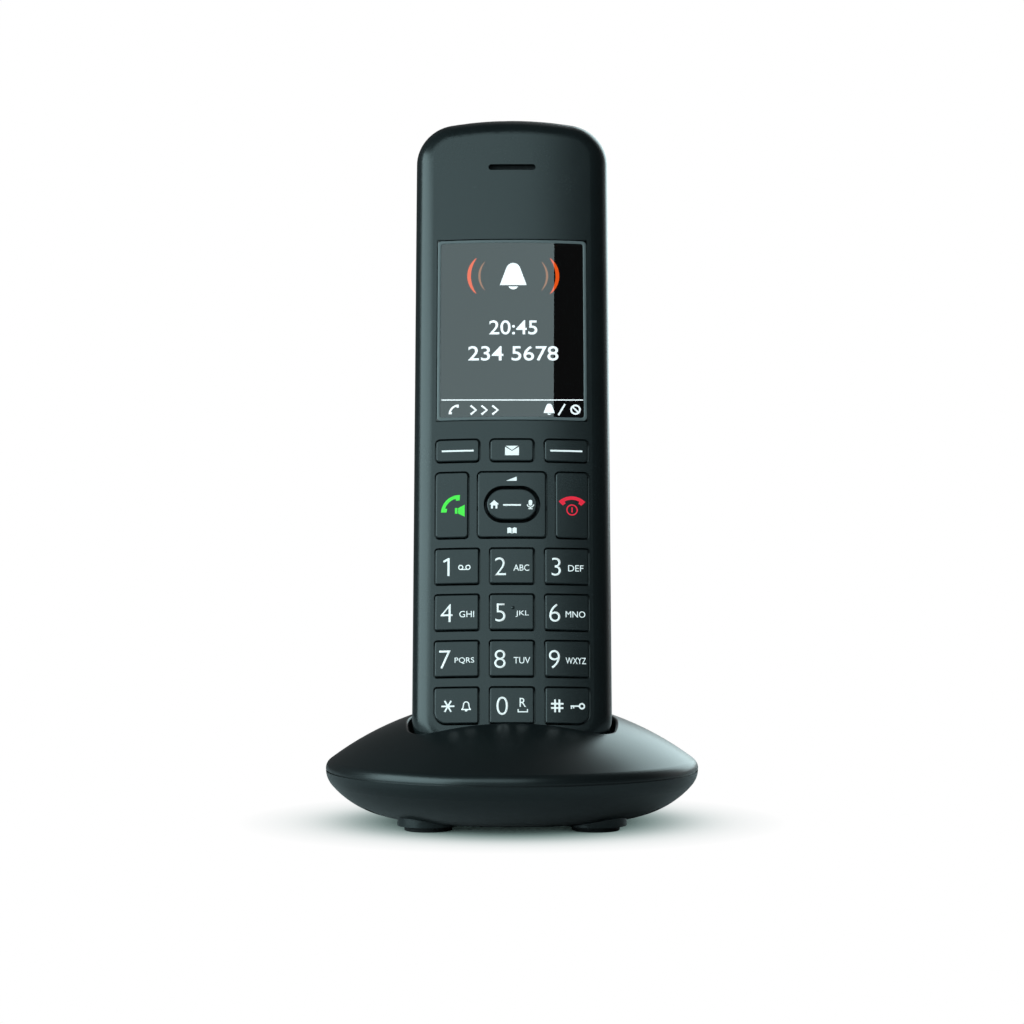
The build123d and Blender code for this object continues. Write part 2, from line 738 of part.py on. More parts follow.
# Two rechargeable cells, laid head to tail, and the contacts at their ends
cell_bottom = bay_bottom + contact_room
cell_top = cell_bottom + cell_length
cell_x = (cell_diameter + cell_gap) / 2
cell_body_length = cell_length - cell_button_height
with BuildPart() as battery_cells:
    with BuildSketch(end_plane(cell_bottom)):
        with Locations((-cell_x, cell_axis_depth)):
            Circle(cell_diameter / 2)
    extrude(amount=cell_body_length)
    with BuildSketch(end_plane(cell_bottom + cell_button_height)):
        with Locations((cell_x, cell_axis_depth)):
            Circle(cell_diameter / 2)
    extrude(amount=cell_body_length)
    fillet(battery_cells.edges().filter_by(GeomType.CIRCLE), cell_edge)
    with BuildSketch(end_plane(cell_bottom + cell_body_length)):
        with Locations((-cell_x, cell_axis_depth)):
            Circle(cell_button_diameter / 2)
    extrude(amount=cell_button_height)
    with BuildSketch(end_plane(cell_bottom)):
        with Locations((cell_x, cell_axis_depth)):
            Circle(cell_button_diameter / 2)
    extrude(amount=cell_button_height)
save_leaned(battery_cells.part, "battery_cells")

contact_middle = bay_floor + bay_rib_height / 2
with BuildPart() as battery_contacts:
    with BuildSketch(end_plane(bay_bottom)):
        with Locations((0, contact_middle)):
            Rectangle(bay_width - 2 * cell_gap, bay_rib_height)
    extrude(amount=contact_plate)
    with BuildSketch(end_plane(bay_bottom + bay_length)):
        with Locations((0, contact_middle)):
            with GridLocations(2 * cell_x, 0, 2, 1):
                Rectangle(cell_diameter - 2 * cell_gap, bay_rib_height)
    extrude(amount=-contact_plate)
    for x in (-cell_x, cell_x):
        with BuildSketch(end_plane(cell_bottom)):
            with Locations((x, cell_axis_depth)):
                Circle(contact_tip_diameter / 2)
        extrude(amount=bay_bottom - cell_bottom, taper=-contact_taper)
        with BuildSketch(end_plane(cell_top)):
            with Locations((x, cell_axis_depth)):
                Circle(contact_tip_diameter / 2)
        extrude(amount=contact_room, taper=-contact_taper)
save_leaned(battery_contacts.part, "battery_contacts")

# Charging pads in the bottom edge, with strips to the board
with BuildPart() as charging_pads:
    with BuildSketch(end_plane(pad_face)):
        with Locations((0, pad_middle)):
            with GridLocations(pad_spacing, 0, 2, 1):
                Rectangle(pad_width, pad_depth)
    extrude(amount=pad_seat - pad_face)
    with BuildSketch(end_plane(pad_seat)):
        with Locations((0, pad_middle)):
            with GridLocations(pad_spacing, 0, 2, 1):
                Rectangle(pad_width + 2 * pad_flange, pad_depth + 2 * pad_flange)
        with Locations((0, (board_back + pad_middle) / 2)):
            with GridLocations(pad_spacing, 0, 2, 1):
                Rectangle(pad_strip_width, pad_middle - board_back)
    extrude(amount=pad_thickness)
    with BuildSketch(end_plane(pad_seat)):
        with Locations((0, board_back + pad_thickness / 2)):
            with GridLocations(pad_spacing, 0, 2, 1):
                Rectangle(pad_strip_width, pad_thickness)
    extrude(amount=pad_strip_width)
save_leaned(charging_pads.part, "charging_pads")

# Screws that hold the two shells together, reached from the battery bay
with BuildPart() as case_screws:
    with BuildSketch(face_plane(bay_floor)):
        with Locations((0, boss_height)):
            with GridLocations(boss_spread, 0, 2, 1):
                Circle(screw_head_diameter / 2)
    extrude(amount=screw_head_height, dir=INTO)
    with BuildSketch(face_plane(bay_floor)):
        with Locations((0, boss_height)):
            with GridLocations(boss_spread, 0, 2, 1):
                Circle(screw_diameter / 2)
    extrude(amount=screw_length, dir=OUT)
    with BuildSketch(face_plane(bay_floor + screw_head_height)):
        with Locations((0, boss_height)):
            with GridLocations(boss_spread, 0, 2, 1):
                Rectangle(screw_slot, screw_head_diameter / 2)
                Rectangle(screw_head_diameter / 2, screw_slot)
    extrude(amount=screw_head_height / 2, dir=OUT, mode=Mode.SUBTRACT)
save_leaned(case_screws.part, "case_screws")


def dome_form(inset, bottom):
    """Solid under the cradle's dome, pulled in by an inset, down to a bottom height."""
    radius = rim_radius - inset
    sphere = dome_radius - inset
    edge_height = dome_top - dome_radius + (sphere**2 - radius**2) ** 0.5
    with BuildPart() as dome:
        with BuildSketch(Plane.XZ):
            with BuildLine():
                RadiusArc((0, dome_top - inset), (radius, edge_height), sphere)
                Polyline((radius, edge_height), (radius, bottom), (0, bottom), (0, dome_top - inset))
            make_face()
        revolve(axis=Axis.Z)
        shoulder = dome.edges().filter_by(lambda edge: edge.is_closed).sort_by(Axis.Z)[-1]
        fillet(shoulder, shoulder_round - inset)
    return dome.part


def on_dome(edge):
    """Whether an edge lies on the cradle's outer dome, by its two ends and its middle."""
    middle = Vector(0, 0, dome_top - dome_radius)
    spots = [edge @ 0, edge @ 0.5, edge @ 1]
    return all(abs((spot - middle).length - dome_radius) < well_edge / 10 for spot in spots)


def bowl_form(inset):
    """Solid of the cradle's lower bowl, pulled in by an inset: two tangent arcs down to a flat floor."""
    with BuildPart() as bowl:
        with BuildSketch(Plane.XZ):
            with BuildLine():
                start = (rim_radius - inset, rim_height)
                knuckle = JernArc(start, (0, -1), knuckle_radius - inset, -knuckle_sweep)
                belly = JernArc(knuckle @ 1, knuckle % 1, bowl_radius - inset, knuckle_sweep - 90)
                Polyline(belly @ 1, (0, bowl_floor + inset), (0, rim_height), start)
            make_face()
        revolve(axis=Axis.Z)
    return bowl.part


# Cradle top: domed shell with the handset's well, pin bores, board posts and screw bosses
post_top = crown_rise(charger_post_spread / 2, -well_clearance) - well_clearance - pin_gap
with BuildPart() as charger_posts:
    with BuildSketch(end_plane(charger_board_top)):
        with Locations((0, pad_middle)):
            with GridLocations(charger_post_spread, 0, 2, 1):
                Circle(charger_post_diameter / 2)
    extrude(amount=post_top - charger_board_top)

with BuildPart() as pin_bores:
    with BuildSketch(end_plane(well_floor - well_wall)):
        with Locations((0, pad_middle)):
            with GridLocations(pad_spacing, 0, 2, 1):
                Circle(barrel_diameter / 2 + pin_gap)
    extrude(amount=3 * well_wall)

dome_solid = dome_form(0.0, rim_height)
with BuildPart() as well:
    add(handset_body(-well_clearance - well_wall, well_side_room).moved(lean))
    add(dome_form(cradle_wall / 2, 0.0), mode=Mode.INTERSECT)

with BuildPart() as cradle_bosses:
    with BuildSketch(Plane.XY.offset(cradle_joint)):
        with GridLocations(cradle_screw_spread_x, cradle_screw_spread_y, 2, 2):
            Circle(cradle_boss_diameter / 2)
    extrude(amount=dome_top)
    add(dome_form(cradle_wall / 2, 0.0), mode=Mode.INTERSECT)

with BuildPart() as cradle_top:
    add(dome_solid)
    add(dome_form(cradle_wall, rim_height), mode=Mode.SUBTRACT)
    add(well.part)
    add(charger_posts.part.moved(lean))
    add(cradle_bosses.part)
    add(handset_body(-well_clearance, well_side_room).moved(lean), mode=Mode.SUBTRACT)
    dome_edges = cradle_top.edges().filter_by(on_dome)
    fillet(dome_edges.filter_by(lambda edge: edge.center().Z > shoulder_height), well_edge)
    add(pin_bores.part.moved(lean), mode=Mode.SUBTRACT)
    with BuildSketch(Plane.XY.offset(cradle_joint)):
        with GridLocations(cradle_screw_spread_x, cradle_screw_spread_y, 2, 2):
            Circle((cradle_screw_diameter + screw_gap) / 2)
    extrude(amount=cradle_screw_bite, mode=Mode.SUBTRACT)
save(cradle_top.part, "cradle_top")

# Cradle base: lower bowl with foot bosses, screw pillars, cord channel and socket opening
with BuildPart() as base_pillars:
    with BuildSketch(Plane.XY):
        with GridLocations(cradle_screw_spread_x, cradle_screw_spread_y, 2, 2):
            Circle(cradle_boss_diameter / 2)
    extrude(amount=cradle_joint)
    with BuildSketch(Plane.XY):
        with Locations((0, socket_setback + fit_gap, 0)):
            Rectangle(duct_width, rim_radius, align=(Align.CENTER, Align.MIN))
    extrude(amount=bowl_floor + cord_channel_height + cord_channel_wall)
    add(bowl_form(cradle_wall / 2), mode=Mode.INTERSECT)

with BuildPart() as cradle_base:
    add(bowl_form(0.0))
    add(bowl_form(cradle_wall), mode=Mode.SUBTRACT)
    add(base_pillars.part)
    with BuildSketch(Plane.XY.offset(foot_height)):
        with GridLocations(foot_spread_x, foot_spread_y, 2, 2):
            Circle(foot_diameter / 2 + foot_gap + foot_boss_wall)
    extrude(amount=foot_boss_height)
    with BuildSketch(Plane.XY.offset(foot_height)):
        with GridLocations(foot_spread_x, foot_spread_y, 2, 2):
            Circle(foot_diameter / 2 + foot_gap)
    extrude(amount=foot_recess, mode=Mode.SUBTRACT)
    with BuildSketch(Plane.XY):
        with GridLocations(cradle_screw_spread_x, cradle_screw_spread_y, 2, 2):
            Circle(cradle_screw_head / 2 + fit_gap)
    extrude(amount=cradle_screw_seat, mode=Mode.SUBTRACT)
    with BuildSketch(Plane.XY.offset(cradle_screw_seat)):
        with GridLocations(cradle_screw_spread_x, cradle_screw_spread_y, 2, 2):
            Circle(cradle_screw_diameter / 2 + screw_gap)
    extrude(amount=cradle_joint - cradle_screw_seat, mode=Mode.SUBTRACT)
    with BuildSketch(Plane.XY):
        with Locations((0, socket_setback - socket_wall)):
            Rectangle(cord_channel_width, rim_radius, align=(Align.CENTER, Align.MIN))
    extrude(amount=bowl_floor + cord_channel_height, mode=Mode.SUBTRACT)
    with BuildSketch(Plane.XY):
        with Locations((0, socket_setback - socket_depth / 2)):
            Rectangle(socket_width - 2 * socket_wall, socket_depth - 2 * socket_wall)
    extrude(amount=inner_floor, mode=Mode.SUBTRACT)
    with BuildSketch(Plane.XY.offset(rim_height)):
        Circle(rim_radius)
        Circle(rim_radius - cradle_groove, mode=Mode.SUBTRACT)
    extrude(amount=-cradle_groove, mode=Mode.SUBTRACT)
save(cradle_base.part, "cradle_base")

# Rubber feet, socket, charger board, contact barrels and screws
with BuildPart() as cradle_feet:
    with BuildSketch(Plane.XY):
        with GridLocations(foot_spread_x, foot_spread_y, 2, 2):
            Circle(foot_diameter / 2)
    extrude(amount=foot_height + foot_recess)
    fillet(cradle_feet.edges().group_by(Axis.Z)[0], foot_edge)
save(cradle_feet.part, "cradle_feet")

with BuildPart() as power_socket:
    with BuildSketch(Plane.XY.offset(inner_floor)):
        with Locations((0, socket_setback - socket_depth / 2)):
            Rectangle(socket_width, socket_depth)
    extrude(amount=socket_height)
    with BuildSketch(Plane.XY.offset(inner_floor)):
        with Locations((0, socket_setback - socket_depth / 2)):
            Rectangle(socket_width - 2 * socket_wall, socket_depth - 2 * socket_wall)
    extrude(amount=socket_height - socket_wall, mode=Mode.SUBTRACT)
    with BuildSketch(Plane.XY.offset(inner_floor + socket_height - socket_wall)):
        with Locations((0, socket_setback - socket_depth / 2)):
            with GridLocations(socket_blade_pitch, 0, 2, 1):
                Rectangle(socket_blade, socket_depth / 2)
    extrude(amount=-socket_blade_length)
save(power_socket.part, "power_socket")

with BuildPart() as charger_board:
    with BuildSketch(end_plane(charger_board_top)):
        with Locations((0, pad_middle)):
            Rectangle(charger_board_width, charger_board_depth)
            with GridLocations(pad_spacing, 0, 2, 1):
                Circle(barrel_diameter / 2 + pin_gap, mode=Mode.SUBTRACT)
    extrude(amount=-charger_board_thickness)
save_leaned(charger_board.part, "charger_board")

barrel_bottom = well_floor - barrel_length
barrel_top = -well_clearance - pin_gap
with BuildPart() as contact_barrels:
    with BuildSketch(end_plane(barrel_bottom)):
        with Locations((0, pad_middle)):
            with GridLocations(pad_spacing, 0, 2, 1):
                Circle(barrel_diameter / 2)
    extrude(amount=barrel_top - barrel_bottom)
    with BuildSketch(end_plane(barrel_bottom + barrel_wall)):
        with Locations((0, pad_middle)):
            with GridLocations(pad_spacing, 0, 2, 1):
                Circle(pin_diameter / 2 + pin_bore_gap)
    extrude(amount=barrel_top - barrel_bottom, mode=Mode.SUBTRACT)
save_leaned(contact_barrels.part, "contact_barrels")

pin_top = pad_face - pin_gap
pin_bottom = barrel_bottom + barrel_wall + pin_travel + fit_gap
for name, side in (("contact_pin_left", -1), ("contact_pin_right", 1)):
    with BuildPart() as contact_pin:
        with BuildSketch(end_plane(pin_bottom)):
            with Locations((side * pad_spacing / 2, pad_middle)):
                Circle(pin_diameter / 2)
        extrude(amount=pin_top - pin_bottom)
        fillet(contact_pin.edges().group_by(Axis.Z)[-1], pin_edge)
    save_leaned(contact_pin.part, name)

with BuildPart() as cradle_screws:
    with BuildSketch(Plane.XY.offset(cradle_screw_seat)):
        with GridLocations(cradle_screw_spread_x, cradle_screw_spread_y, 2, 2):
            Circle(cradle_screw_head / 2)
    extrude(amount=-cradle_screw_head_height)
    with BuildSketch(Plane.XY.offset(cradle_screw_seat)):
        with GridLocations(cradle_screw_spread_x, cradle_screw_spread_y, 2, 2):
            Circle(cradle_screw_diameter / 2)
    extrude(amount=cradle_screw_length)
    with BuildSketch(Plane.XY.offset(cradle_screw_seat - cradle_screw_head_height)):
        with GridLocations(cradle_screw_spread_x, cradle_screw_spread_y, 2, 2):
            Rectangle(screw_slot, cradle_screw_head / 2)
            Rectangle(cradle_screw_head / 2, screw_slot)
    extrude(amount=cradle_screw_head_height / 2, mode=Mode.SUBTRACT)
save(cradle_screws.part, "cradle_screws")
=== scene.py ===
"""Visual model of a cordless phone that leans back in its charging cradle.

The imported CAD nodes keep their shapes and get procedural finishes.  Added here are the printed
legends of the keys, the picture on the display, the lip round the window, the woven screen in the
earpiece slot, the ribbed rubber feet of the cradle and an arrow on the battery cover.
"""

import json
import logging
import math
from collections.abc import Callable, Iterable, Sequence
from dataclasses import dataclass
from enum import Enum

import bmesh
import bpy
from bmesh.types import BMVert, BMesh
from bpy.types import Mesh, Node, NodeSocket, NodeTree, Object
from mathutils import Matrix, Vector
from mathutils.bvhtree import BVHTree


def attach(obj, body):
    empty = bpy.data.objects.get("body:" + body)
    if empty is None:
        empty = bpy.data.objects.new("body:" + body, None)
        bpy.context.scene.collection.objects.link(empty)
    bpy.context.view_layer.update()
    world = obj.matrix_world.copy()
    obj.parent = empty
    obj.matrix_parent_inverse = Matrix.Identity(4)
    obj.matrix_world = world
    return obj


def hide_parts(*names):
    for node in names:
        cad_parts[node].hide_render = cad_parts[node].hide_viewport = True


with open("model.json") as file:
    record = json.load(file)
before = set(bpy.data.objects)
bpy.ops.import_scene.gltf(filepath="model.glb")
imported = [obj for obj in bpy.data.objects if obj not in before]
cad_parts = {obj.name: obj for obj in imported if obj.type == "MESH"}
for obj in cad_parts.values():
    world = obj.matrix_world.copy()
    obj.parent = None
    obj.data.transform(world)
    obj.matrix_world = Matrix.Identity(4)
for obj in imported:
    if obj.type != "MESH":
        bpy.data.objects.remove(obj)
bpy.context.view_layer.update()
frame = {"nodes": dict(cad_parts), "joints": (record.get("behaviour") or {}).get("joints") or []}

LOG = logging.getLogger("cordless_phone")
MM = 0.001
Colour = tuple[float, float, float]
Point = tuple[float, float]
Spot = tuple[float, float, float]
Outline = list[Point]
COOL_GLOSS: Colour = (0.90, 0.99, 1.0)
COOL_LAMP: Colour = (0.74, 0.97, 1.0)


class Slot(Enum):
    """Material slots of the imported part."""

    HANDSET = "handset_casing"
    CRADLE = "cradle_casing"
    KEY = "key_plastic"
    WINDOW = "window"
    DISPLAY = "display"
    FOAM = "foam"
    FELT = "felt"
    SILICONE = "silicone"
    FOOT = "foot_rubber"
    BOARD = "circuit_board"
    SHEET = "sheet_steel"
    SCREW = "screw_steel"
    GOLD = "gold_contact"
    CAPSULE = "dark_capsule"
    CELL = "cell_can"


class Ink(Enum):
    """Finishes that only scene pieces carry: inks, whose glow on the keys is painted light, lit picture
    parts, and the window lip, whose pale colour is a painted highlight.
    """

    WHITE = "legend_white"
    GREEN = "legend_green"
    RED = "legend_red"
    LIT_WHITE = "picture_white"
    LIT_ORANGE = "picture_orange"
    LIT_AMBER = "picture_amber"
    LIP_PAINTED_HIGHLIGHT = "window_lip"


def math_operator(operation: str, swapped: bool = False) -> Callable[..., "Value"]:
    """Make an operator of Value that adds one Math node.

    Args:
        operation: the node's operation.
        swapped: whether the other number comes first.

    Returns:
        The operator.
    """

    def apply(own: "Value", other: "Number" = 0.0) -> "Value":
        """Add the node.

        Args:
            own: the value on which the operator is used.
            other: the other number.

        Returns:
            The result as a value.
        """
        first, second = (other, own) if swapped else (own, other)
        node = own.tree.add("ShaderNodeMath", {"operation": operation}, {0: first, 1: second})
        return Value(own.tree, node.outputs[0])

    return apply


class Value:
    """A number socket that takes part in Python arithmetic by adding Math nodes."""

    __add__ = __radd__ = math_operator("ADD")
    __sub__ = math_operator("SUBTRACT")
    __rsub__ = math_operator("SUBTRACT", swapped=True)
    __mul__ = __rmul__ = math_operator("MULTIPLY")
    __truediv__ = math_operator("DIVIDE")
    __pow__ = math_operator("POWER")
    __lt__ = math_operator("LESS_THAN")
    most = math_operator("MAXIMUM")
    sine = math_operator("SINE")

    def __init__(self, tree: "Tree", socket: NodeSocket) -> None:
        """Keep the tree and the socket."""
        self.tree = tree
        self.socket = socket

    def ramp(self, start: float, end: float) -> "Value":
        """Zero at start, one at end, even between and held outside."""
        sockets = {"Value": self, "From Min": start, "From Max": end}
        return Value(self.tree, self.tree.add("ShaderNodeMapRange", {"clamp": True}, sockets).outputs[0])


Number = float | Value


class Tree:
    """A node tree that grows one node at a time."""

    def __init__(self, nodes: NodeTree) -> None:
        """Keep the tree to add to."""
        self.nodes = nodes

    def add(self, kind: str, settings: dict | None = None, sockets: dict | None = None) -> Node:
        """Add a node.

        Args:
            kind: the node's type.
            settings: its properties, set first.
            sockets: values or links of its inputs, by name or number.

        Returns:
            The new node.
        """
        node = self.nodes.nodes.new(kind)
        for name, setting in (settings or {}).items():
            setattr(node, name, setting)
        for name, value in (sockets or {}).items():
            self.feed(node.inputs[name], value)
        return node

    def feed(self, socket: NodeSocket, value: object) -> None:
        """Link a socket or value to an input, or set the input's own number.

        Args:
            socket: the input.
            value: what it takes.
        """
        source = value.socket if isinstance(value, Value) else value
        if isinstance(source, NodeSocket):
            self.nodes.links.new(source, socket)
        else:
            socket.default_value = source


class Surface(Tree):
    """A material with one Principled shader, read through Object coordinates."""

    def __init__(self, name: str, constants: dict | None = None) -> None:
        """Clear the named material, or make it.

        Args:
            name: the material's name, which for CAD nodes is their slot.
            constants: numbers and colours that are the same all over.
        """
        self.material = bpy.data.materials.get(name) or bpy.data.materials.new(name)
        self.material.use_nodes = True
        super().__init__(self.material.node_tree)
        self.nodes.nodes.clear()
        self.shader = self.add("ShaderNodeBsdfPrincipled", None, constants)
        self.output = self.add("ShaderNodeOutputMaterial", None, {"Surface": self.shader.outputs[0]})
        self.place = self.add("ShaderNodeTexCoord").outputs["Object"]

    def stretched(self, scale: Spot) -> NodeSocket:
        """Object coordinates stretched along their axes."""
        return self.add("ShaderNodeMapping", None, {"Vector": self.place, "Scale": scale}).outputs[0]

    def noise(self, size: float, detail: float = 2.0, place: NodeSocket | None = None) -> Value:
        """Cloudy noise from zero to one, with clouds of a size in metres and some finer layers."""
        sockets = {"Vector": place or self.place, "Scale": 1.0 / size, "Detail": detail}
        return Value(self, self.add("ShaderNodeTexNoise", None, sockets).outputs["Fac"])

    def cells(self, size: float, feature: str = "F1") -> Value:
        """Distance within cells of a size in metres, of the kind that the feature names."""
        sockets = {"Vector": self.place, "Scale": 1.0 / size}
        return Value(self, self.add("ShaderNodeTexVoronoi", {"feature": feature}, sockets).outputs[0])

    def axis(self, number: int) -> Value:
        """One of the three object coordinates, in metres."""
        return Value(self, self.add("ShaderNodeSeparateXYZ", None, {0: self.place}).outputs[number])

    def mixed(self, factor: Number, first: object, second: object) -> NodeSocket:
        """Blend two colours.

        Args:
            factor: zero for the first, one for the second.
            first: a colour or a colour link.
            second: a colour or a colour link.

        Returns:
            The blended colour.
        """
        ends = [(*end, 1.0) if isinstance(end, tuple) else end for end in (first, second)]
        sockets = {0: factor, 6: ends[0], 7: ends[1]}
        return self.add("ShaderNodeMix", {"data_type": "RGBA"}, sockets).outputs[2]

    def set(self, name: str, value: object) -> None:
        """Feed one input of the shader."""
        self.feed(self.shader.inputs[name], value)

    def stray(self, mask: Value, colour: Colour, share: float) -> None:
        """Let the base colour stray both ways by a share, darker where the mask is low."""
        self.set("Base Color", self.mixed(mask, shade(colour, 1.0 - share), shade(colour, 1.0 + share)))

    def bump(self, height: Number, depth: float) -> None:
        """Roughen the surface by a relief from zero to one that is a depth in metres."""
        self.set("Normal", self.add("ShaderNodeBump", None, {"Distance": depth, "Height": height}).outputs[0])


def shade(colour: Colour, share: float) -> Colour:
    """A colour made darker or lighter by a share."""
    return tuple(channel * share for channel in colour)


@dataclass(frozen=True)
class MouldedPlastic:
    """Injection moulded plastic with a fine spark-eroded grain."""

    name: str
    colour: Colour
    roughness: float
    grain: float = 0.24 * MM
    depth: float = 0.004 * MM
    cloud: float = 14.0 * MM
    gloss: float = 0.55
    colour_stray: float = 0.18
    cloud_gloss: float = 0.06
    grain_gloss: float = 0.10

    def build(self) -> None:
        """Grain in the relief and the gloss, with slow clouds in the colour."""
        gloss = {"Specular Tint": (*COOL_GLOSS, 1.0), "Specular IOR Level": self.gloss}
        surface = Surface(self.name, gloss)
        grain = surface.noise(self.grain, 3.0)
        cloud = surface.noise(self.cloud, 3.0)
        surface.stray(cloud, self.colour, self.colour_stray)
        uneven = (cloud - 0.5) * self.cloud_gloss + (grain - 0.5) * self.grain_gloss
        surface.set("Roughness", self.roughness + uneven)
        surface.bump(grain, self.depth)


@dataclass(frozen=True)
class SmokedWindow:
    """Clear acrylic with a dark smoke, polished, with the faintest smears."""

    name: str = Slot.WINDOW.value
    smoke: Colour = (0.060, 0.066, 0.068)
    smear: float = 7.0 * MM
    smear_stretch: Spot = (1.0, 1.0, 0.35)
    smoke_stray: float = 0.08
    uncoated: float = 0.4 * MM
    roughness: float = 0.01
    smear_gloss: float = 0.02

    def build(self) -> None:
        """Polished hard coat on the front, and a body whose back hardly mirrors."""
        polish = {"IOR": 1.06, "Transmission Weight": 1.0, "Coat IOR": 1.8, "Coat Roughness": 0.012}
        surface = Surface(self.name, polish)
        along = {0: surface.place, 1: BENCH.into}
        deep = surface.add("ShaderNodeVectorMath", {"operation": "DOT_PRODUCT"}, along).outputs["Value"]
        back = BENCH.front + BENCH.spans("display_window")[1].z
        surface.set("Coat Weight", Value(surface, deep) < back - self.uncoated)
        smear = surface.noise(self.smear, 4.0, surface.stretched(self.smear_stretch))
        surface.stray(smear, self.smoke, self.smoke_stray)
        surface.set("Roughness", self.roughness + smear * self.smear_gloss)


@dataclass(frozen=True)
class DisplayGlass:
    """The dark face of a display, ruled with fine rows of dots."""

    name: str = Slot.DISPLAY.value
    colour: Colour = (0.004, 0.005, 0.006)
    row_colour: Colour = (0.0088, 0.0110, 0.0132)
    dot: float = 0.16 * MM
    row_ramp: Point = (0.6, 1.0)
    roughness: float = 0.16
    row_gloss: float = 0.08

    def build(self) -> None:
        """Near black with rows that show only close up."""
        surface = Surface(self.name, {"Specular IOR Level": 0.02})
        turns = 2.0 * math.pi / self.dot
        across, along = ((surface.axis(number) * turns).sine() for number in (0, 2))
        rows = across.most(along).ramp(*self.row_ramp)
        surface.set("Base Color", surface.mixed(rows, self.colour, self.row_colour))
        surface.set("Roughness", self.roughness + rows * self.row_gloss)


@dataclass(frozen=True)
class PrintedInk:
    """Printed ink, whose glow on the keys is painted light, or a lit picture part, which glows as the display
    does; slightly uneven.
    """

    name: str
    colour: Colour
    emission_and_painted_light: float
    mottle: float = 0.35 * MM
    thin_spot: float = 0.94

    def build(self) -> None:
        """Even ink with a slight mottle."""
        # On the keys this emission is painted light: print that glows though it is no lamp.
        surface = Surface(self.name, {"Emission Strength": self.emission_and_painted_light, "Roughness": 0.5})
        ink = surface.mixed(surface.noise(self.mottle), shade(self.colour, self.thin_spot), self.colour)
        surface.set("Base Color", ink)
        surface.set("Emission Color", ink)


@dataclass(frozen=True)
class SoftRubber:
    """Rubber, silicone, foam or felt: matt, with pores or fibres in relief."""

    name: str
    colour: Colour
    roughness: float
    pore: float
    depth: float
    sheen: float = 0.0
    pore_ramp: Point = (0.1, 0.8)
    pore_painted_shade: float = 0.7
    skin_painted_light: float = 1.15
    dust: float = 6.0 * MM
    dust_ramp: Point = (0.55, 0.9)
    dust_cover: float = 0.3
    dust_shade: float = 1.6
    dust_gloss: float = 0.1

    def build(self) -> None:
        """Pores that dent the surface, with painted shade that darkens the colour in the dents and lightens
        it between them, under a little dust.
        """
        surface = Surface(self.name, {"Sheen Weight": self.sheen, "Specular IOR Level": 0.3})
        pores_and_painted_shade = surface.cells(self.pore).ramp(*self.pore_ramp)
        dust = surface.noise(self.dust, 4.0)
        cover = dust.ramp(*self.dust_ramp) * self.dust_cover
        # Painted shade: darker colour in the pores' dents and lighter on the skin between them.
        painted_shades = [shade(self.colour, share) for share in (self.pore_painted_shade, self.skin_painted_light)]
        dusty = surface.mixed(cover, surface.mixed(pores_and_painted_shade, *painted_shades), shade(self.colour, self.dust_shade))
        surface.set("Base Color", dusty)
        surface.set("Roughness", self.roughness + (dust - 0.5) * self.dust_gloss)
        surface.bump(pores_and_painted_shade, self.depth)


@dataclass(frozen=True)
class DrawnMetal:
    """Sheet or turned metal with fine drawing lines."""

    name: str
    colour: Colour
    roughness: float
    stretch: Spot = (1.0, 1.0, 14.0)
    line: float = 1.4 * MM
    line_depth: float = 0.006 * MM
    line_gloss: float = 0.25
    stain: float = 5.0 * MM
    stain_ramp: Point = (0.4, 0.8)
    stain_shade: float = 0.78

    def build(self) -> None:
        """Long lines in the gloss and the relief, with a slight stain."""
        surface = Surface(self.name, {"Metallic": 1.0})
        lines = surface.noise(self.line, 4.0, surface.stretched(self.stretch))
        stain = surface.noise(self.stain, 3.0).ramp(*self.stain_ramp)
        surface.set("Base Color", surface.mixed(stain, self.colour, shade(self.colour, self.stain_shade)))
        surface.set("Roughness", self.roughness + (lines - 0.5) * self.line_gloss)
        surface.bump(lines, self.line_depth)


@dataclass(frozen=True)
class CircuitBoard:
    """Glass-fibre board under green lacquer, with copper runs that show through."""

    name: str = Slot.BOARD.value
    lacquer: Colour = (0.010, 0.085, 0.040)
    run: Colour = (0.035, 0.190, 0.090)
    pad: Colour = (0.62, 0.48, 0.22)
    pitch: float = 3.1 * MM
    run_share: float = 0.09
    pad_share: float = 0.14
    pad_metal: float = 0.9
    roughness: float = 0.32
    haze: float = 2.0 * MM
    haze_gloss: float = 0.15
    copper: float = 0.03 * MM

    def build(self) -> None:
        """Runs along cell borders and pads at the cells' hearts."""
        surface = Surface(self.name, {"Specular IOR Level": 0.6})
        runs = surface.cells(self.pitch, "DISTANCE_TO_EDGE") < self.run_share
        pads = surface.cells(self.pitch) < self.pad_share
        colour = surface.mixed(runs, self.lacquer, self.run)
        surface.set("Base Color", surface.mixed(pads, colour, self.pad))
        surface.set("Metallic", pads * self.pad_metal)
        surface.set("Roughness", self.roughness + surface.noise(self.haze) * self.haze_gloss)
        surface.bump(runs.most(pads), self.copper)


@dataclass(frozen=True)
class CellSleeve:
    """Shrunk sleeve of a rechargeable cell: a pale green wrap with faint creases."""

    name: str = Slot.CELL.value
    colour: Colour = (0.09, 0.33, 0.16)
    colour_stray: float = 0.2
    cloud: float = 11.0 * MM
    crease: float = 2.2 * MM
    crease_stretch: Spot = (1.0, 1.0, 4.0)
    crease_depth: float = 0.05 * MM
    roughness: float = 0.30
    crease_gloss: float = 0.2

    def build(self) -> None:
        """Creases round the cell and a slow drift of colour."""
        surface = Surface(self.name, {"Coat Roughness": 0.15, "Coat Weight": 0.4})
        crease = surface.noise(self.crease, 5.0, surface.stretched(self.crease_stretch))
        surface.stray(surface.noise(self.cloud), self.colour, self.colour_stray)
        surface.set("Roughness", self.roughness + crease * self.crease_gloss)
        surface.bump(crease, self.crease_depth)


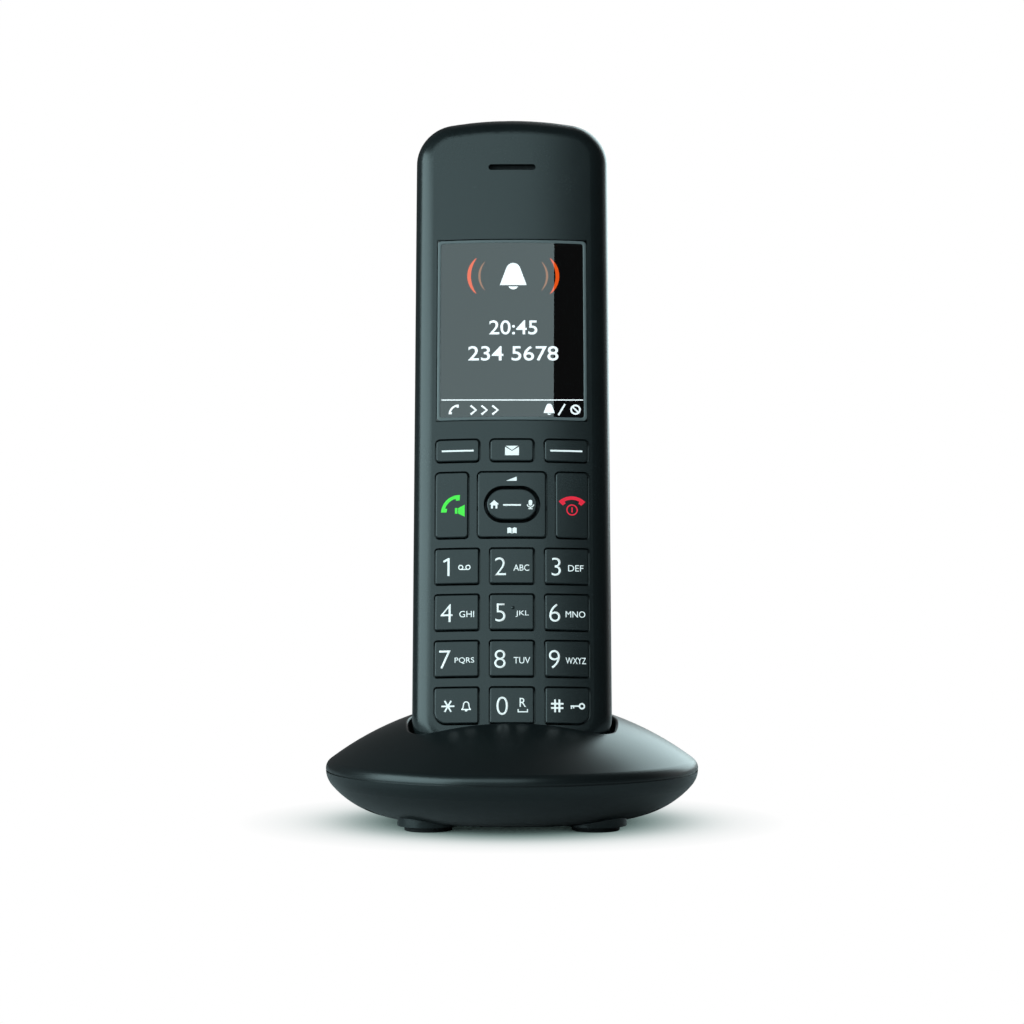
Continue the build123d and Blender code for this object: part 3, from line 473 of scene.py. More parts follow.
FINISHES = (
    MouldedPlastic(Slot.HANDSET.value, (0.010, 0.0138, 0.0147), 0.25),
    MouldedPlastic(Slot.CRADLE.value, (0.0085, 0.0118, 0.0126), 0.31, 0.30 * MM, 0.007 * MM, 22.0 * MM),
    MouldedPlastic(Slot.KEY.value, (0.0095, 0.0133, 0.0141), 0.25, 0.18 * MM, 0.003 * MM),
    SmokedWindow(),
    DisplayGlass(),
    SoftRubber(Slot.FOAM.value, (0.018, 0.018, 0.020), 0.9, 0.35 * MM, 0.12 * MM),
    SoftRubber(Slot.FELT.value, (0.015, 0.016, 0.017), 0.95, 0.12 * MM, 0.05 * MM, sheen=0.4),
    SoftRubber(Slot.SILICONE.value, (0.16, 0.18, 0.19), 0.55, 0.6 * MM, 0.01 * MM),
    SoftRubber(Slot.FOOT.value, (0.016, 0.017, 0.018), 0.75, 0.25 * MM, 0.02 * MM),
    CircuitBoard(),
    DrawnMetal(Slot.SHEET.value, (0.62, 0.64, 0.65), 0.34),
    DrawnMetal(Slot.SCREW.value, (0.36, 0.37, 0.39), 0.30, stretch=(6.0, 6.0, 1.0), line=0.5 * MM),
    DrawnMetal(Slot.GOLD.value, (0.86, 0.62, 0.26), 0.22, line=0.6 * MM),
    MouldedPlastic(Slot.CAPSULE.value, (0.020, 0.021, 0.023), 0.48, grain=0.3 * MM),
    CellSleeve(),
    # The three key inks glow with painted light; the picture parts below glow as the display's own light.
    PrintedInk(Ink.WHITE.value, (0.84, 0.90, 0.90), 0.52),
    PrintedInk(Ink.GREEN.value, (0.055, 0.70, 0.052), 0.60),
    PrintedInk(Ink.RED.value, (0.72, 0.010, 0.036), 0.62),
    PrintedInk(Ink.LIT_WHITE.value, (0.95, 0.99, 0.99), 18.0),
    PrintedInk(Ink.LIT_ORANGE.value, (0.84, 0.085, 0.006), 17.0),
    PrintedInk(Ink.LIT_AMBER.value, (0.46, 0.17, 0.07), 11.0),
    # The lip's pale colour is a painted highlight; the handset's own plastic is far darker.
    MouldedPlastic(Ink.LIP_PAINTED_HIGHLIGHT.value, (0.150, 0.174, 0.178), 0.36),
)


def corners(points: Iterable[Sequence[float]]) -> tuple[Vector, Vector]:
    """The lowest and the highest corner of the box round some points."""
    columns = list(zip(*points))
    return Vector([min(column) for column in columns]), Vector([max(column) for column in columns])


@dataclass(frozen=True)
class Bench:
    """The handset's own axes, with zero at its foot, its middle and its foremost line."""

    right: Vector
    up: Vector
    into: Vector
    foot: float
    front: float

    @classmethod
    def find(cls) -> "Bench":
        """Read the axes from the joints that lift the handset and take off its cover.

        Returns:
            The bench.
        """
        axes = {joint["name"]: Vector(joint["axis"]).normalized() for joint in frame["joints"]}
        up = axes["handset_lift"]
        into = axes["cover_off"]
        points = [vertex.co for vertex in frame["nodes"]["front_shell"].data.vertices]
        foot = min(point.dot(up) for point in points)
        front = min(point.dot(into) for point in points)
        return cls(into.cross(up), up, into, foot, front)

    def point(self, across: float, along: float, deep: float) -> Vector:
        """A place given across, along and into the handset."""
        return self.right * across + self.up * (self.foot + along) + self.into * (self.front + deep)

    def spans(self, node: str) -> tuple[Vector, Vector]:
        """How far a CAD node reaches across, along and into the handset.

        Args:
            node: the node's name.

        Returns:
            Its lowest and highest corner on these axes.
        """
        places = [vertex.co for vertex in frame["nodes"][node].data.vertices]
        return corners(
            (co.dot(self.right), co.dot(self.up) - self.foot, co.dot(self.into) - self.front) for co in places
        )

    def middle(self, node: str) -> Vector:
        """The middle of a CAD node on these axes."""
        low, high = self.spans(node)
        return (low + high) / 2.0

    def seat(self, across: float, along: float, deep: float) -> Matrix:
        """The matrix that stands a flat piece on the handset's front at a place."""
        turn = Matrix((self.right, self.up, -self.into)).transposed()
        return Matrix.Translation(self.point(across, along, deep)) @ turn.to_4x4()


BENCH = Bench.find()


def place_piece(name: str, mesh: Mesh, finish: str) -> Object:
    """Put a mesh into the scene as a finished piece.

    Args:
        name: the piece's name.
        mesh: its mesh, already in place.
        finish: the name of its material.

    Returns:
        The piece.
    """
    mesh.materials.clear()
    mesh.materials.append(bpy.data.materials[finish])
    piece = bpy.data.objects.new(name, mesh)
    bpy.context.collection.objects.link(piece)
    return piece


def settle(piece: Object, body: str) -> None:
    """Let a piece ride on a body and report it.

    Args:
        piece: the piece.
        body: the body, or a CAD node of it.
    """
    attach(piece, body)
    LOG.info("%s: %d faces", piece.name, len(piece.data.polygons))


def evaluated_mesh(carrier: Object) -> Mesh:
    """Evaluate an object once, keep its shape and remove it.

    Args:
        carrier: an object whose text or modifier makes the shape.

    Returns:
        The shape as a plain mesh, with nothing live on it.
    """
    bpy.context.collection.objects.link(carrier)
    bpy.context.view_layer.update()
    mesh = bpy.data.meshes.new_from_object(carrier.evaluated_get(bpy.context.evaluated_depsgraph_get()))
    carrier.modifiers.clear()
    bpy.data.objects.remove(carrier)
    return mesh


def closed_mesh(name: str, work: BMesh, weld: float = 1e-7) -> Mesh:
    """Keep a work mesh, with its doubles merged and its faces turned outwards.

    Args:
        name: the mesh's name.
        work: the work mesh, which is freed.
        weld: how close doubles are, in metres.

    Returns:
        The plain mesh.
    """
    bmesh.ops.remove_doubles(work, verts=work.verts[:], dist=weld)
    bmesh.ops.recalc_face_normals(work, faces=work.faces[:])
    mesh = bpy.data.meshes.new(name)
    work.to_mesh(mesh)
    work.free()
    return mesh


def lathe(name: str, profile: Sequence[Point], steps: int) -> Mesh:
    """Turn a profile about the upright axis into a closed mesh.

    Args:
        name: the mesh's name.
        profile: radius and height of each point, in metres.
        steps: how many pieces the turn has.

    Returns:
        The mesh.
    """
    work = bmesh.new()
    points = [work.verts.new((x, 0.0, z)) for x, z in profile]
    edges = [work.edges.new(pair) for pair in zip(points, points[1:])]
    bmesh.ops.spin(
        work, geom=points + edges, cent=(0.0, 0.0, 0.0), axis=(0.0, 0.0, 1.0),
        angle=2.0 * math.pi, steps=steps,
    )
    return closed_mesh(name, work)


def drape(mesh: Mesh, node: str, place: Point, back: bool = False) -> None:
    """Lay a flat mesh on the front or the back of a CAD node, keeping its heights.

    Args:
        mesh: the mesh, flat about its origin, with its heights along its third axis.
        node: the CAD node that carries it.
        place: where its origin goes across and along the handset.
        back: whether the node's back carries it.
    """
    clear = 5.0 * MM
    solid = frame["nodes"][node].data
    skin = BVHTree.FromPolygons([v.co for v in solid.vertices], [p.vertices for p in solid.polygons])
    low, high = BENCH.spans(node)
    side = -1.0 if back else 1.0
    toward = BENCH.into * side
    outside = (high.z if back else low.z) - side * clear
    for vertex in mesh.vertices:
        across, along, height = vertex.co
        start = BENCH.point(place[0] + across * side, place[1] + along, outside)
        vertex.co = skin.ray_cast(start, toward)[0] - toward * height
    mesh.update()


def arc(middle: Point, radius: float, start: float, end: float, steps: int = 10) -> Outline:
    """Points along an arc from one angle in degrees to another, in a number of steps."""
    angles = [math.radians(start + (end - start) * step / steps) for step in range(steps + 1)]
    return [(middle[0] + radius * math.cos(a), middle[1] + radius * math.sin(a)) for a in angles]


def turned(points: Iterable[Point], degrees: float, shift: Point, scale: float = 1.0) -> Outline:
    """Points turned to the left, sized and then moved.

    Args:
        points: the points.
        degrees: the turn.
        shift: the move.
        scale: the size.

    Returns:
        The new points.
    """
    cosine = math.cos(math.radians(degrees)) * scale
    sine = math.sin(math.radians(degrees)) * scale
    return [(x * cosine - y * sine + shift[0], x * sine + y * cosine + shift[1]) for x, y in points]


def bar(middle: Point, width: float, height: float, degrees: float = 0.0) -> Outline:
    """The outline of a bar about its middle."""
    square = ((-0.5, -0.5), (0.5, -0.5), (0.5, 0.5), (-0.5, 0.5))
    return turned([(x * width, y * height) for x, y in square], degrees, middle)


def band(path: Sequence[Point], width: float) -> Outline:
    """The outline of a line of even width along an open path.

    Args:
        path: the points it goes through.
        width: its width.

    Returns:
        The outline.
    """
    last = len(path) - 1
    left = []
    right = []
    for number, here in enumerate(path):
        run = Vector(path[min(number + 1, last)]) - Vector(path[max(number - 1, 0)])
        side = Vector((-run.y, run.x)).normalized() * (width / 2.0)
        left.append((here[0] + side.x, here[1] + side.y))
        right.append((here[0] - side.x, here[1] - side.y))
    return left + right[::-1]


def ring(middle: Point, radius: float, width: float, steps: int = 24) -> list[Outline]:
    """A closed ring of even width, as one outline for each of its steps."""
    outer, inner = (arc(middle, radius + side * width / 2.0, 0.0, 360.0, steps) for side in (1.0, -1.0))
    return [[outer[n], outer[n + 1], inner[n + 1], inner[n]] for n in range(steps)]


def receiver_sign() -> list[Outline]:
    """A telephone receiver that arches over its middle, one long.

    Returns:
        Its outline.
    """
    outer = 0.707
    inner = 0.575
    lobe = 0.49
    lobe_turn = 16.0
    first = 45.0
    last = 135.0
    outline = arc((0.0, 0.0), outer, first, last, 14)
    outline += arc((0.0, 0.0), lobe, last, last - lobe_turn, 4)
    outline += arc((0.0, 0.0), inner, last - lobe_turn, first + lobe_turn, 8)
    outline += arc((0.0, 0.0), lobe, first + lobe_turn, first, 4)
    return [turned(outline, 0.0, (0.0, -(outer + inner) / 2.0))]


def bell_sign() -> list[Outline]:
    """A bell with a round crown and a clapper, one wide at its lip."""
    crown = arc((0.0, 0.60), 0.27, 15.0, 165.0, 12)
    return [[(0.5, 0.0), *crown, (-0.5, 0.0)], arc((0.0, 0.03), 0.2, 205.0, 335.0, 8)]


def open_bell_sign() -> list[Outline]:
    """A bell drawn as a line, with its clapper filled, about one wide at its lip.

    Returns:
        Its outlines.
    """
    line = 0.1238
    crown = arc((0.0, 0.55), 0.3, 0.0, 180.0, 10)
    body = band([(0.47, 0.0), (0.34, 0.22), *crown, (-0.34, 0.22), (-0.47, 0.0)], line)
    clapper = arc((0.0, -0.07), 0.16, 180.0, 360.0, 6)
    return [body, bar((0.0, 0.0), 0.94 + line, line), clapper]


def envelope_sign() -> list[Outline]:
    """An envelope as a flap and a pocket with a line left open between them.

    Returns:
        Its outlines.
    """
    half = 1.65
    tall = 1.15
    gap = 0.22
    flap = [(-half + gap, tall), (0.0, gap / 2.0), (half - gap, tall)]
    pocket = [(-half, -tall), (half, -tall), (half, tall - gap), (0.0, -gap / 2.0), (-half, tall - gap)]
    return [flap, pocket]


def door_key_sign() -> list[Outline]:
    """A door key whose bow is on the right."""
    bits = [bar((-1.5, -0.4), 0.28, 0.5), bar((-0.98, -0.34), 0.28, 0.38)]
    return [*ring((0.95, 0.0), 0.58, 0.34, 18), bar((-0.7, 0.0), 1.96, 0.3), *bits]


def house_sign() -> list[Outline]:
    """A small house with an open door."""
    right = [(0.3, -0.25), (0.3, -1.0), (0.75, -1.0), (0.75, 0.0), (1.1, 0.0)]
    return [[*right, (0.0, 1.05), *((-x, y) for x, y in right[::-1])]]


def microphone_sign() -> list[Outline]:
    """A microphone capsule in its stand.

    Returns:
        Its outlines.
    """
    capsule = arc((0.0, 0.65), 0.42, 0.0, 180.0, 8) + arc((0.0, 0.05), 0.42, 180.0, 360.0, 8)
    cup = band(arc((0.0, 0.05), 0.78, 190.0, 350.0, 10), 0.24)
    return [capsule, cup, bar((0.0, -0.92), 0.24, 0.2), bar((0.0, -1.12), 1.0, 0.2)]


def book_sign() -> list[Outline]:
    """An open book."""
    leaf = [(0.1, 0.55), (0.6, 0.75), (1.1, 0.6), (1.1, -0.7), (0.6, -0.55), (0.1, -0.75)]
    return [[(side * x, y) for x, y in leaf] for side in (-1.0, 1.0)]


def flagged_one() -> list[Outline]:
    """A one with a flag, which the font's plain stroke lacks, one high."""
    stem = [(0.04, -0.5), (0.155, -0.5), (0.155, 0.5), (0.07, 0.5)]
    return [[*stem, (-0.2, 0.345), (-0.155, 0.25), (0.04, 0.36)]]


def reels_sign() -> list[Outline]:
    """Two tape reels on one line."""
    reels = [part for side in (-0.85, 0.85) for part in ring((side, 0.0), 0.5, 0.24, 18)]
    return [*reels, bar((0.0, -0.5), 1.7, 0.22)]


def space_sign() -> list[Outline]:
    """A flat tray for the space between words."""
    ends = [bar((side, 0.37), 0.24, 0.5) for side in (-1.08, 1.08)]
    return [bar((0.0, 0.0), 2.4, 0.24), *ends]


def star_sign() -> list[Outline]:
    """A star of six even arms.

    Returns:
        Its outline.
    """
    arm = 1.5
    stroke = 0.36
    points: Outline = []
    for turn in range(0, 360, 60):
        notch = (stroke * math.cos(math.pi / 6.0), stroke / 2.0)
        points += turned([(arm, -stroke / 2.0), (arm, stroke / 2.0), notch], turn, (0.0, 0.0))
    return [points]


def hash_sign() -> list[Outline]:
    """A hash whose cross bars are cut where they meet the uprights.

    Returns:
        Its outlines.
    """
    stroke = 0.42
    offset = 0.5
    uprights = [bar((side * offset, 0.0), stroke, 2.98) for side in (-1.0, 1.0)]
    pieces = ((-1.08, 0.72), (0.0, 0.58), (1.08, 0.72))
    return uprights + [bar((x, side * offset), wide, stroke) for side in (-1.0, 1.0) for x, wide in pieces]


def speaker_sign() -> list[Outline]:
    """A loudspeaker that faces right."""
    return [bar((0.0, 0.0), 0.6, 1.4), [(0.45, 0.65), (2.0, 1.45), (2.0, -1.45), (0.45, -0.65)]]


def power_sign() -> list[Outline]:
    """A ring with a bar upright in it."""
    return [*ring((0.0, 0.0), 1.22, 0.3), bar((0.0, 0.0), 0.3, 1.25)]


def off_sign() -> list[Outline]:
    """A ring with a bar across it."""
    return [*ring((0.0, 0.0), 1.05, 0.42), bar((0.0, 0.0), 1.7, 0.36, -45.0)]


@dataclass(frozen=True)
class Mark:
    """A sign on a drawing, in millimetres."""

    sign: Sequence[Outline]
    place: Point = (0.0, 0.0)
    size: float = 1.0
    turn: float = 0.0

    def draw(self, art: BMesh) -> None:
        """Fill the sign's outlines.

        Args:
            art: the drawing's faces.
        """
        for outline in self.sign:
            points = turned(outline, self.turn, self.place, self.size)
            art.faces.new([art.verts.new((x, y, 0.0)) for x, y in points])


@dataclass(frozen=True)
class Word:
    """Figures or letters on a drawing, in millimetres.

    The height is that of its capitals, a width of zero is the font's own, and the weight is what
    each side of a stroke gains, for letters one high.
    """

    text: str
    place: Point
    height: float
    width: float = 0.0
    weight: float = 0.0

    def draw(self, art: BMesh) -> None:
        """Fill the letters.

        Args:
            art: the drawing's faces.
        """
        data = bpy.data.curves.new("words", "FONT")
        data.body = self.text
        data.offset = self.weight
        data.resolution_u = 5
        mesh = evaluated_mesh(bpy.data.objects.new("words", data))
        low, high = corners(vertex.co for vertex in mesh.vertices)
        tall = self.height / (high.y - low.y)
        wide = self.width / (high.x - low.x) if self.width else tall
        centre = (low + high) / 2.0
        mesh.transform(Matrix.Translation((-centre.x, -centre.y, 0.0)))
        mesh.transform(Matrix.Diagonal((wide, tall, 0.0, 1.0)))
        mesh.transform(Matrix.Translation((*self.place, 0.0)))
        art.from_mesh(mesh)
        bpy.data.meshes.remove(mesh)
        bpy.data.curves.remove(data)


@dataclass(frozen=True)
class Drawing:
    """Flat marks in millimetres that are laid on a face of the phone as thin raised ink."""

    marks: Sequence[Mark | Word]
    thickness: float = 0.03
    lift: float = 0.008
    cut: float = 1.5
    weld: float = 0.0005

    def lay(
        self, name: str, node: str, place: Point, ink: Ink | Slot, back: bool = False
    ) -> Object:
        """Raise the art into thin ink, cut it so that it can bend, and lay it on a node's face.

        Args:
            name: the new piece's name.
            node: the CAD node whose face carries it.
            place: the art's middle across and along the handset, in metres.
            ink: its finish.
            back: whether the face looks backwards.

        Returns:
            The finished piece.
        """
        art = bmesh.new()
        for mark in self.marks:
            mark.draw(art)
        bmesh.ops.remove_doubles(art, verts=art.verts[:], dist=self.weld)
        cuts = int(max(abs(vertex.co.x) for vertex in art.verts) / self.cut)
        for number in range(-cuts, cuts + 1):
            everything = art.verts[:] + art.edges[:] + art.faces[:]
            spot = (number * self.cut, 0.0, 0.0)
            bmesh.ops.bisect_plane(art, geom=everything, plane_co=spot, plane_no=(1.0, 0.0, 0.0))
        bmesh.ops.triangulate(art, faces=art.faces[:])
        grown = bmesh.ops.extrude_face_region(art, geom=art.faces[:], use_keep_orig=True)
        for item in grown["geom"]:
            if isinstance(item, BMVert):
                item.co.z = self.thickness
        bmesh.ops.recalc_face_normals(art, faces=art.faces[:])
        for vertex in art.verts:
            vertex.co = (vertex.co + Vector((0.0, 0.0, self.lift))) * MM
        made = bpy.data.meshes.new(name)
        art.to_mesh(made)
        art.free()
        drape(made, node, place, back)
        return place_piece(name, made, ink.value)


class Recipe:
    """A Geometry Nodes tree with named sizes whose result becomes a plain mesh."""

    def __init__(self, name: str, sizes: dict[str, float | int]) -> None:
        """Make the tree's inputs.

        Args:
            name: the tree's name.
            sizes: its named inputs and the values they take.
        """
        self.name = name
        self.sizes = sizes
        self.group = bpy.data.node_groups.new(name, "GeometryNodeTree")
        self.tree = Tree(self.group)
        face = self.group.interface
        face.new_socket("Points", in_out="INPUT", socket_type="NodeSocketGeometry")
        face.new_socket("Result", in_out="OUTPUT", socket_type="NodeSocketGeometry")
        self.keys = {}
        for label, value in sizes.items():
            kind = "NodeSocketInt" if isinstance(value, int) else "NodeSocketFloat"
            self.keys[label] = face.new_socket(label, in_out="INPUT", socket_type=kind).identifier
        self.source = self.tree.add("NodeGroupInput")
        self.points = self.source.outputs["Points"]

    def size(self, label: str) -> Value:
        """One of the named sizes."""
        return Value(self.tree, self.source.outputs[label])

    def node(self, kind: str, settings: dict | None = None, **sockets: object) -> NodeSocket:
        """Add a node and give its first output, with input names that use _ for a space."""
        named = {name.replace("_", " "): value for name, value in sockets.items()}
        return self.tree.add(f"GeometryNode{kind}", settings, named).outputs[0]

    def vector(self, parts: dict[int, Number]) -> NodeSocket:
        """A vector from its parts by axis, with zero on the others."""
        return self.tree.add("ShaderNodeCombineXYZ", None, parts).outputs[0]

    def index(self) -> Value:
        """The number of each point."""
        return Value(self.tree, self.node("InputIndex"))

    def joined(self, *parts: NodeSocket) -> NodeSocket:
        """Join several geometries.

        Args:
            parts: the geometries.

        Returns:
            All of them as one.
        """
        node = self.tree.add("GeometryNodeJoinGeometry")
        for part in parts:
            self.tree.nodes.links.new(part, node.inputs[0])
        return node.outputs[0]

    def bake(self, result: NodeSocket, points: Sequence[Spot], finish: str) -> Mesh:
        """Run the tree and keep a plain mesh.

        Args:
            result: the geometry the tree ends with.
            points: the points it starts from.
            finish: the name of the material it gives.

        Returns:
            The mesh, closed and with nothing live on it.
        """
        real = self.node("RealizeInstances", Geometry=result)
        dressed = self.node("SetMaterial", Geometry=real, Material=bpy.data.materials[finish])
        self.tree.add("NodeGroupOutput", None, {"Result": dressed})
        seed = bpy.data.meshes.new(self.name)
        seed.from_pydata(points, [], [])
        carrier = bpy.data.objects.new(self.name, seed)
        modifier = carrier.modifiers.new(self.name, "NODES")
        modifier.node_group = self.group
        for label, value in self.sizes.items():
            modifier[self.keys[label]] = value
        made = evaluated_mesh(carrier)
        work = bmesh.new()
        work.from_mesh(made)
        bpy.data.meshes.remove(made)
        bpy.data.meshes.remove(seed)
        return closed_mesh(self.name, work)


@dataclass(frozen=True)
class Legend:
    """What is printed on one key."""

    node: str
    marks: tuple[Mark | Word, ...]
    ink: Ink = Ink.WHITE

    def lay(self) -> None:
        """Lay the legend on its key and let it ride on that key."""
        middle = BENCH.middle(self.node)
        piece = Drawing(self.marks).lay(f"legend_{self.node}", self.node, (middle.x, middle.y), self.ink)
        settle(piece, self.node)


@dataclass(frozen=True)
class FigureKey:
    """A figure key's print: the figure left of the middle and its letters right of it."""

    figure: str
    shift: float
    letters: str
    letter_shift: float
    letter_width: float


@dataclass(frozen=True)
class Keypad:
    """The printed legends, one mesh for each key, and the pip on the five."""

    figure_height: float = 4.3
    figure_rise: float = -0.15
    figure_weight: float = -0.012
    letter_height: float = 1.5
    letter_rise: float = -0.46
    pip: float = 0.42
    pip_share: float = 0.6
    pip_root: float = 0.1
    pip_place: Spot = (0.2 * MM, 1.0 * MM, 0.0)
    lettered: tuple[FigureKey, ...] = (
        FigureKey("2", -2.7, "ABC", 2.2, 3.7),
        FigureKey("3", -2.5, "DEF", 2.1, 3.6),
        FigureKey("4", -2.4, "GHI", 2.3, 3.45),
        FigureKey("5", -2.7, "JKL", 2.4, 3.1),
        FigureKey("6", -2.87, "MNO", 1.96, 4.6),
        FigureKey("7", -2.75, "PQRS", 1.8, 4.55),
        FigureKey("8", -2.8, "TUV", 2.3, 3.86),
        FigureKey("9", -3.0, "WXYZ", 2.0, 4.74),
    )
    signs: tuple[Legend, ...] = (
        Legend("key_star", (Mark(star_sign(), (-2.0, -0.15)), Mark(open_bell_sign(), (2.26, -0.95), 2.1))),
        Legend("key_hash", (Mark(hash_sign(), (-2.4, -0.1)), Mark(door_key_sign(), (2.4, -0.1)))),
        Legend("soft_key_left", (Mark([bar((0.0, -0.1), 7.6, 0.4)]),)),
        Legend("soft_key_right", (Mark([bar((0.0, -0.1), 7.6, 0.4)]),)),
        Legend("message_key", (Mark(envelope_sign(), (0.0, -0.15)),)),
        Legend(
            "call_key",
            (Mark(receiver_sign(), (-0.95, 0.95), 6.1, 43.0), Mark(speaker_sign(), (1.0, -1.45))),
            Ink.GREEN,
        ),
        Legend(
            "end_key", (Mark(receiver_sign(), (0.0, 1.7), 6.3), Mark(power_sign(), (0.0, -1.2))), Ink.RED
        ),
        Legend(
            "nav_rocker",
            (Mark([[(-1.4, 0.0), (1.1, 0.0), (1.1, 1.0)]], (0.0, 5.75)), Mark(book_sign(), (0.0, -6.35))),
        ),
        Legend(
            "nav_button",
            (
                Mark(house_sign(), (-4.2, -0.05)),
                Mark([bar((0.0, -0.2), 4.2, 0.38)]),
                Mark(microphone_sign(), (4.35, 0.0)),
            ),
        ),
    )

    def figure(self, text: str, shift: float) -> Word:
        """The large figure of a key."""
        return Word(text, (shift, self.figure_rise), self.figure_height, weight=self.figure_weight)

    def figures(self) -> list[Legend]:
        """Lay out the ten figure keys.

        Returns:
            Their legends.
        """
        one = Mark(flagged_one(), (-2.45, self.figure_rise), self.figure_height)
        legends = [Legend("key_1", (one, Mark(reels_sign(), (1.7, -0.3))))]
        for key in self.lettered:
            spot = (key.letter_shift, self.letter_rise)
            letters = Word(key.letters, spot, self.letter_height, key.letter_width)
            legends.append(Legend(f"key_{key.figure}", (self.figure(key.figure, key.shift), letters)))
        recall = (Word("R", (2.5, 0.65), 2.1, 1.45), Mark(space_sign(), (2.5, -1.56)))
        return legends + [Legend("key_0", (self.figure("0", -2.26), *recall))]

    def raise_pip(self) -> None:
        """Set a small dome beside the five, for finding it by touch."""
        dome = [(self.pip, -self.pip_root), *arc((0.0, 0.0), self.pip, 0.0, 90.0, 6), (0.0, -self.pip_root)]
        mesh = lathe("key_5_pip", [(x * MM, z * MM * self.pip_share) for x, z in dome], steps=24)
        mesh.transform(Matrix.Translation(self.pip_place))
        middle = BENCH.middle("key_5")
        drape(mesh, "key_5", (middle.x, middle.y))
        settle(place_piece("key_5_pip", mesh, Slot.KEY.value), "key_5")

    def build(self) -> None:
        """Print every key and raise the pip."""
        for legend in (*self.figures(), *self.signs):
            legend.lay()
        self.raise_pip()


@dataclass(frozen=True)
class SoundArcs:
    """A pair of tapered arcs left and right of the bell, in millimetres."""

    name: str
    chord: float
    sag: float
    place: float
    width: float
    ink: Ink
    least_taper: float = 0.04
    taper_power: float = 0.6
    flatness: float = 0.05

    def make(self, spot: Spot) -> Object:
        """Sweep one arc and set it on both sides.

        Args:
            spot: the middle of the pair across, along and into the handset, in metres.

        Returns:
            The pair as one piece.
        """
        radius = (self.chord * self.chord / 4.0 + self.sag * self.sag) / (2.0 * self.sag)
        half = math.asin(self.chord / 2.0 / radius)
        sizes = {"Radius": radius * MM, "Half sweep": half, "Half width": self.width * MM / 2.0}
        recipe = Recipe(self.name, sizes)
        line = recipe.node(
            "CurveArc", {"mode": "RADIUS"}, Resolution=24, Radius=recipe.size("Radius"),
            Start_Angle=recipe.size("Half sweep") * -1.0, Sweep_Angle=recipe.size("Half sweep") * 2.0,
        )
        rim = recipe.node("CurvePrimitiveCircle", Resolution=8, Radius=recipe.size("Half width"))
        along = Value(recipe.tree, recipe.node("SplineParameter"))
        taper = (along * math.pi).sine().most(self.least_taper) ** self.taper_power
        swept = recipe.node("CurveToMesh", Curve=line, Profile_Curve=rim, Scale=taper, Fill_Caps=True)
        flat = recipe.node("Transform", Geometry=swept, Scale=(1.0, 1.0, self.flatness))
        spin = recipe.vector({2: recipe.index() * math.pi})
        pair = recipe.node("InstanceOnPoints", Points=recipe.points, Instance=flat, Rotation=spin)
        reach = (self.place - radius) * MM
        mesh = recipe.bake(pair, [(reach, 0.0, 0.0), (-reach, 0.0, 0.0)], self.ink.value)
        mesh.transform(BENCH.seat(*spot))
        return place_piece(self.name, mesh, self.ink.value)


@dataclass(frozen=True)
class Picture:
    """What the display shows: a ringing bell, plain figures and two soft-key signs."""

    shift: float = 0.3
    arc_rise: float = 14.6
    arc_lift: float = 0.05
    text_weight: float = 0.008
    rule_rise: float = -16.7
    sign_rise: float = -19.2
    chevron: tuple[Point, ...] = ((-1.3, 1.1), (0.0, 0.0), (-1.3, -1.1))
    chevron_tips: tuple[float, ...] = (-8.9, -6.3, -3.7)
    bell: tuple[Mark, ...] = (Mark(bell_sign(), (0.0, 12.3), 6.5),)
    arcs: tuple[SoundArcs, ...] = (
        SoundArcs("picture_outer_arcs", 9.0, 1.75, 10.7, 0.9, Ink.LIT_ORANGE),
        SoundArcs("picture_inner_arcs", 7.3, 1.35, 8.2, 0.55, Ink.LIT_AMBER),
    )

    def text(self) -> list[Mark | Word]:
        """Lay out the figures, the rule under them and the signs of the soft keys.

        Returns:
            The marks.
        """
        row = self.sign_rise
        tips = [Mark([band(self.chevron, 0.5)], (tip, row)) for tip in self.chevron_tips]
        return [
            Word("20:45", (0.0, 1.55), 3.6, 11.6, self.text_weight),
            Word("234 5678", (0.0, -5.0), 3.7, 21.7, self.text_weight),
            Mark([bar((0.0, self.rule_rise), 34.4, 0.26)]),
            Mark(receiver_sign(), (-14.6, row + 0.5), 3.4, 45.0),
            *tips,
            Mark(bell_sign(), (8.6, row - 0.75), 2.7),
            Mark([bar((11.6, row + 0.1), 3.2, 0.42, 60.0)]),
            Mark(off_sign(), (14.9, row + 0.1)),
        ]

    def build(self) -> None:
        """Draw the bell, its arcs, the figures and the signs."""
        middle = BENCH.middle("display_window")
        spot = (middle.x + self.shift * MM, middle.y)
        front = BENCH.spans("display_module")[0].z - self.arc_lift * MM
        pieces = [Drawing(self.bell).lay("picture_bell", "display_module", spot, Ink.LIT_WHITE)]
        pieces += [pair.make((spot[0], spot[1] + self.arc_rise * MM, front)) for pair in self.arcs]
        pieces.append(Drawing(self.text()).lay("picture_text", "display_module", spot, Ink.LIT_WHITE))
        for piece in pieces:
            settle(piece, "handset")


